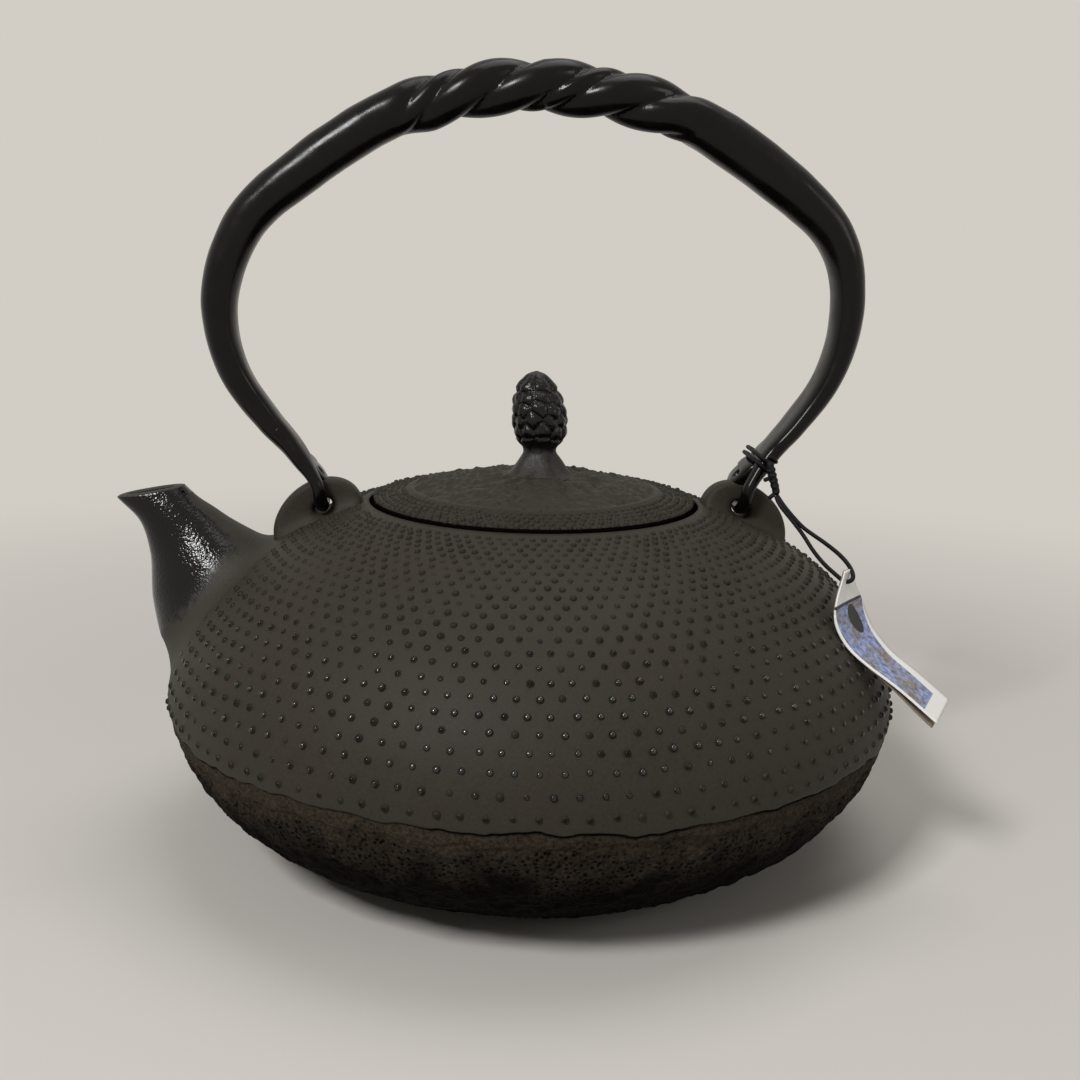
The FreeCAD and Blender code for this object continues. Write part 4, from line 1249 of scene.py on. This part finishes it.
def strap_radius(path, angle):
    """Radius of the strap's section at each angle: two half superellipses, round outside, flatter inside."""
    thickness, depth, flat = path[:, 3:4], path[:, 4:5], path[:, 5:6]
    cos, sin = np.abs(np.cos(angle))[None], np.sin(angle)[None]
    outer = ((2 * cos / depth) ** 2.2 + (np.abs(sin) / (0.56 * thickness)) ** 2.2) ** (-1 / 2.2)
    power = 2.1 + 1.3 * np.clip(flat, 0, 1)
    inner = ((2 * cos / depth) ** power + (np.abs(sin) / (0.44 * thickness)) ** power) ** (-1 / power)
    return np.where(sin >= 0, outer, inner)


def section_grid(line, side, out, radius, angle):
    """Rings about a line, side cos a + out sin a times the radius, and the directions they spread in."""
    spread = crossed(side, out, angle)
    return line[:, None] + spread * radius[..., None], spread


def bail_grid(bail):
    """Bail as rings along its line, the right half and its mirror image, with the grip's twist on top.

    The strap's section turns into the lobes of the grip over a short way. The top leans a millimetre to
    the right and the right shoulder swells out. Low down the left leg is forged thicker and narrower and
    the right one thinner, and dents wave the surface.
    """
    half, side, out = strap_frame(BAIL_ROWS, 260)
    mirror = np.array([-1.0, 1, 1])
    line, side, out = (np.concatenate([(part * mirror)[:0:-1], part]) for part in (half[:, :3], side, out))
    path = np.concatenate([half[:0:-1], half])
    level = line[:, 2].copy()
    right = line[:, 0] > 0
    swell = 0.08 * ease(156, 168, level) * (1 - ease(174, 184, level))
    forged = np.where(right, swell - 0.1 * (1 - ease(140, 160, level)), 0.1 * (1 - ease(116, 132, level)))
    narrow = 0.25 * ~right * ease(97, 104, level) * (1 - ease(114, 130, level))
    path[:, 3] *= 1 + forged * ease(96, 106, level)
    path[:, 4] *= 1 - narrow
    angle = bearings(80)
    share = 0.5 + line[:, 0] / (2 * bail.grip_half)
    turn = np.radians(226) - FULL_TURN * bail.grip_turns * share
    rope = lobe_radius(angle[None] - turn[:, None])
    run = running(line)
    blend = (1 - ease(bail.grip_half - 3, bail.grip_half + 9, np.abs(run - run[-1] / 2)))[:, None]
    radius = (strap_radius(path, angle) * (1 - blend) + rope * blend) * closing(run, 1.6, 0.05)[:, None]
    shoulder = 1.2 * right * ease(134, 152, level) * (1 - ease(164, 180, level))
    line[:, 0] += ease(115, 165, level) + shoulder
    grid, spread = section_grid(line, side, out, radius, angle)
    dents = 0.14 * roughness(grid, 8, 81, 2) * (1 - blend) * ease(96, 104, grid[..., 2])
    return grid + spread * dents[..., None]


def tongue_grid(mirrored):
    """Flat tongue that goes down behind the ear, beside the hook, with a small pit in its inner face.

    The left one is mirrored and sits further out low down.
    """
    path, side, out = strap_frame(TONGUE_ROWS, 110)
    angle = bearings(112)
    radius = strap_radius(path, angle) * closing(running(path[:, :3]), 1.4, 0.05)[:, None]
    grid, _ = section_grid(path[:, :3], side, out, radius, angle)
    away = np.linalg.norm(grid - TONGUE_EYE, axis=-1)
    inner = np.sin(angle) < 0
    grid = grid + out[:, None] * (1.3 * np.exp(-away ** 4) * inner)[..., None]
    if mirrored:
        grid[..., 0] += 1.6 * (1 - ease(98, 104, grid[..., 2]))
        grid *= [-1, 1, 1]
    return grid


class TEAPOT_OT_bail(bpy.types.Operator):
    """Forge the bail with its twisted grip and hooks"""
    bl_idname = "teapot.bail"
    bl_label = "Bail"

    def execute(self, context):
        bail = plain(context.scene.teapot_bail)
        skins = [skin(bail_grid(bail))] + [skin(tongue_grid(mirrored)) for mirrored in (False, True)]
        make_piece("bail_bar", skins, "black_lacquer", "handle", ["bail_handle"])
        return {"FINISHED"}


# Strainer
def strainer_wires():
    """Woven wall of the strainer: two sets of thin wires that climb it in opposite slants."""
    wires, steps, low, high = 64, 40, 30.5, 78.5
    wire_radius, slant, weave, crossings = 0.19, 1.35, 0.16, 27
    share = np.linspace(0, 1, steps)
    height = low + (high - low) * share
    radius = np.interp(height, [30.0, 77.0, 82.0], [30.4, 33.1, 33.1])
    skins = []
    for way in (-1, 1):
        for k in range(wires):
            bearing = FULL_TURN * k / wires + way * slant * share
            wave = radius + way * weave * np.cos(np.pi * (share * crossings + k))
            skins.append(skin(tube(polar(wave, bearing, height), wire_radius, 4)))
    return skins


class TEAPOT_OT_strainer(bpy.types.Operator):
    """Weave the strainer's wall and finish its rim, base and the knob's washer"""
    bl_idname = "teapot.strainer"
    bl_label = "Strainer"

    def execute(self, context):
        make_piece("strainer_weave", strainer_wires(), "stainless_steel", "strainer",
                   ["strainer_mesh"])
        for name in ("strainer_rim", "strainer_base", "knob_washer"):
            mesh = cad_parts[name].data
            mesh.materials.clear()
            mesh.materials.append(bpy.data.materials["stainless_steel"])
        return {"FINISHED"}


# Stage
CAMERA_PLACE = Vector((-26.9, -328.3, 149.0)) * MM
CAMERA_BEARING = np.arctan2(0.0872, 0.9962)
CAMERA_DIP = np.radians(12.32)
CAMERA_ROLL = np.radians(1.3)
CAMERA_FOCUS = 1300 / 1080
SENSOR = 36.0
# Half the floor's side, in metres
FLOOR_HALF = 3.0
# Share of the surround's colour that lights the object
WORLD_LIGHT = 0.24
# Lamps: place and aim in metres, width, power in watts
LAMPS = (
    ("key_lamp", (-0.64, -0.85, 1.02), (0, 0, 0.08), 0.3, 12.2),
    ("top_lamp", (0.25, 0.15, 1.5), (0, 0, 0.05), 1.0, 6.0),
    ("side_lamp", (1.0, -0.6, 0.6), (0, 0, 0.08), 0.4, 1.2),
)


def seen_ray(tree):
    """1 for rays from the camera, from mirrors and through glass, 0 for all others."""
    seen = 0.0
    for name in ("Is Camera Ray", "Is Glossy Ray", "Is Transmission Ray"):
        ray = add_node(tree, "LightPath", out=name)
        seen = add_node(tree, "Math", (seen, ray), operation="MAXIMUM")
    return seen


def studio_floor(colours):
    """Pale matte floor that keeps the shadow near the pot and runs out into the surround further off."""
    material, add, surface, place = blank_finish("studio_floor")
    feed(surface, {"Base Color": colours.floor, "Roughness": 0.9, "Specular IOR Level": 0.1})
    distance = add("VectorMath", (place,), "Value", operation="LENGTH")
    far = add("MapRange", (distance, 0.14, 0.55), interpolation_type="SMOOTHSTEP")
    share = add("Math", (far, seen_ray(material.node_tree)), operation="MULTIPLY")
    glow = add("Emission", {"Color": colours.surround, "Strength": 1.0})
    mixed = add("MixShader", (share, surface.outputs[0], glow))
    feed(material.node_tree.nodes["Material Output"], {"Surface": mixed})
    return material


class TEAPOT_OT_stage(bpy.types.Operator):
    """Set the floor, the lamps, the pale surround and the camera"""
    bl_idname = "teapot.stage"
    bl_label = "Stage"

    def execute(self, context):
        scene = context.scene
        scene.view_settings.view_transform = "Standard"
        colours = scene.teapot_colours
        corners = [(x * FLOOR_HALF, y * FLOOR_HALF, 0) for x, y in ((-1, -1), (1, -1), (1, 1), (-1, 1))]
        mesh = bpy.data.meshes.new("floor")
        mesh.from_pydata(corners, [], [(0, 1, 2, 3)])
        mesh.materials.append(studio_floor(colours))
        floor = placed("floor", mesh)
        world = bpy.data.worlds.new("studio")
        world.use_nodes = True
        tree = world.node_tree
        strength = add_node(tree, "MapRange", (seen_ray(tree), 0.0, 1.0, WORLD_LIGHT, 1.0))
        feed(tree.nodes["Background"], {"Color": colours.surround, "Strength": strength})
        scene.world = world
        for name, spot, aim, width, power in LAMPS:
            light = bpy.data.lights.new(name, "AREA")
            light.size = width
            light.energy = power
            lamp = placed(name, light)
            lamp.location = spot
            lamp.rotation_euler = (Vector(aim) - Vector(spot)).to_track_quat("-Z", "Y").to_euler()
        lens = bpy.data.cameras.new("camera")
        lens.sensor_width = SENSOR
        lens.lens = SENSOR * CAMERA_FOCUS
        lens.clip_start = 0.01
        camera = placed("camera", lens)
        turn = (Matrix.Rotation(-CAMERA_BEARING, 4, "Z") @ Matrix.Rotation(np.pi / 2 - CAMERA_DIP, 4, "X")
                @ Matrix.Rotation(CAMERA_ROLL, 4, "Z"))
        camera.matrix_world = Matrix.Translation(CAMERA_PLACE) @ turn
        scene.camera = camera
        return {"FINISHED"}


class TEAPOT_PT_panel(bpy.types.Panel):
    """Lists the teapot's pieces in the sidebar"""
    bl_idname = "TEAPOT_PT_panel"
    bl_label = "Teapot"
    bl_space_type = "VIEW_3D"
    bl_region_type = "UI"
    bl_category = "Teapot"

    def draw(self, context):
        for operator in OPERATORS:
            self.layout.operator(operator.bl_idname)


GROUPS = {"teapot_pot": TeapotPot, "teapot_spout": TeapotSpout, "teapot_lid": TeapotLid,
          "teapot_bail": TeapotBail, "teapot_cord": TeapotCord, "teapot_colours": TeapotColours}
OPERATORS = (TEAPOT_OT_stage, TEAPOT_OT_finishes, TEAPOT_OT_cord, TEAPOT_OT_tag, TEAPOT_OT_pot, TEAPOT_OT_lid,
             TEAPOT_OT_bail, TEAPOT_OT_strainer)


def register():
    """Make the classes and their settings known to Blender."""
    for part in list(GROUPS.values()) + list(OPERATORS) + [TEAPOT_PT_panel]:
        bpy.utils.register_class(part)
    for name, group in GROUPS.items():
        setattr(bpy.types.Scene, name, bpy.props.PointerProperty(type=group))


def unregister():
    """Undo register."""
    for name in GROUPS:
        delattr(bpy.types.Scene, name)
    for part in reversed(list(GROUPS.values()) + list(OPERATORS) + [TEAPOT_PT_panel]):
        bpy.utils.unregister_class(part)


def main():
    """Build the whole teapot."""
    register()
    bpy.ops.teapot.stage()
    bpy.ops.teapot.finishes()
    bpy.ops.teapot.cord()
    bpy.ops.teapot.tag()
    bpy.ops.teapot.pot()
    bpy.ops.teapot.lid()
    bpy.ops.teapot.bail()
    bpy.ops.teapot.strainer()


if __name__ == "__main__":
    main()
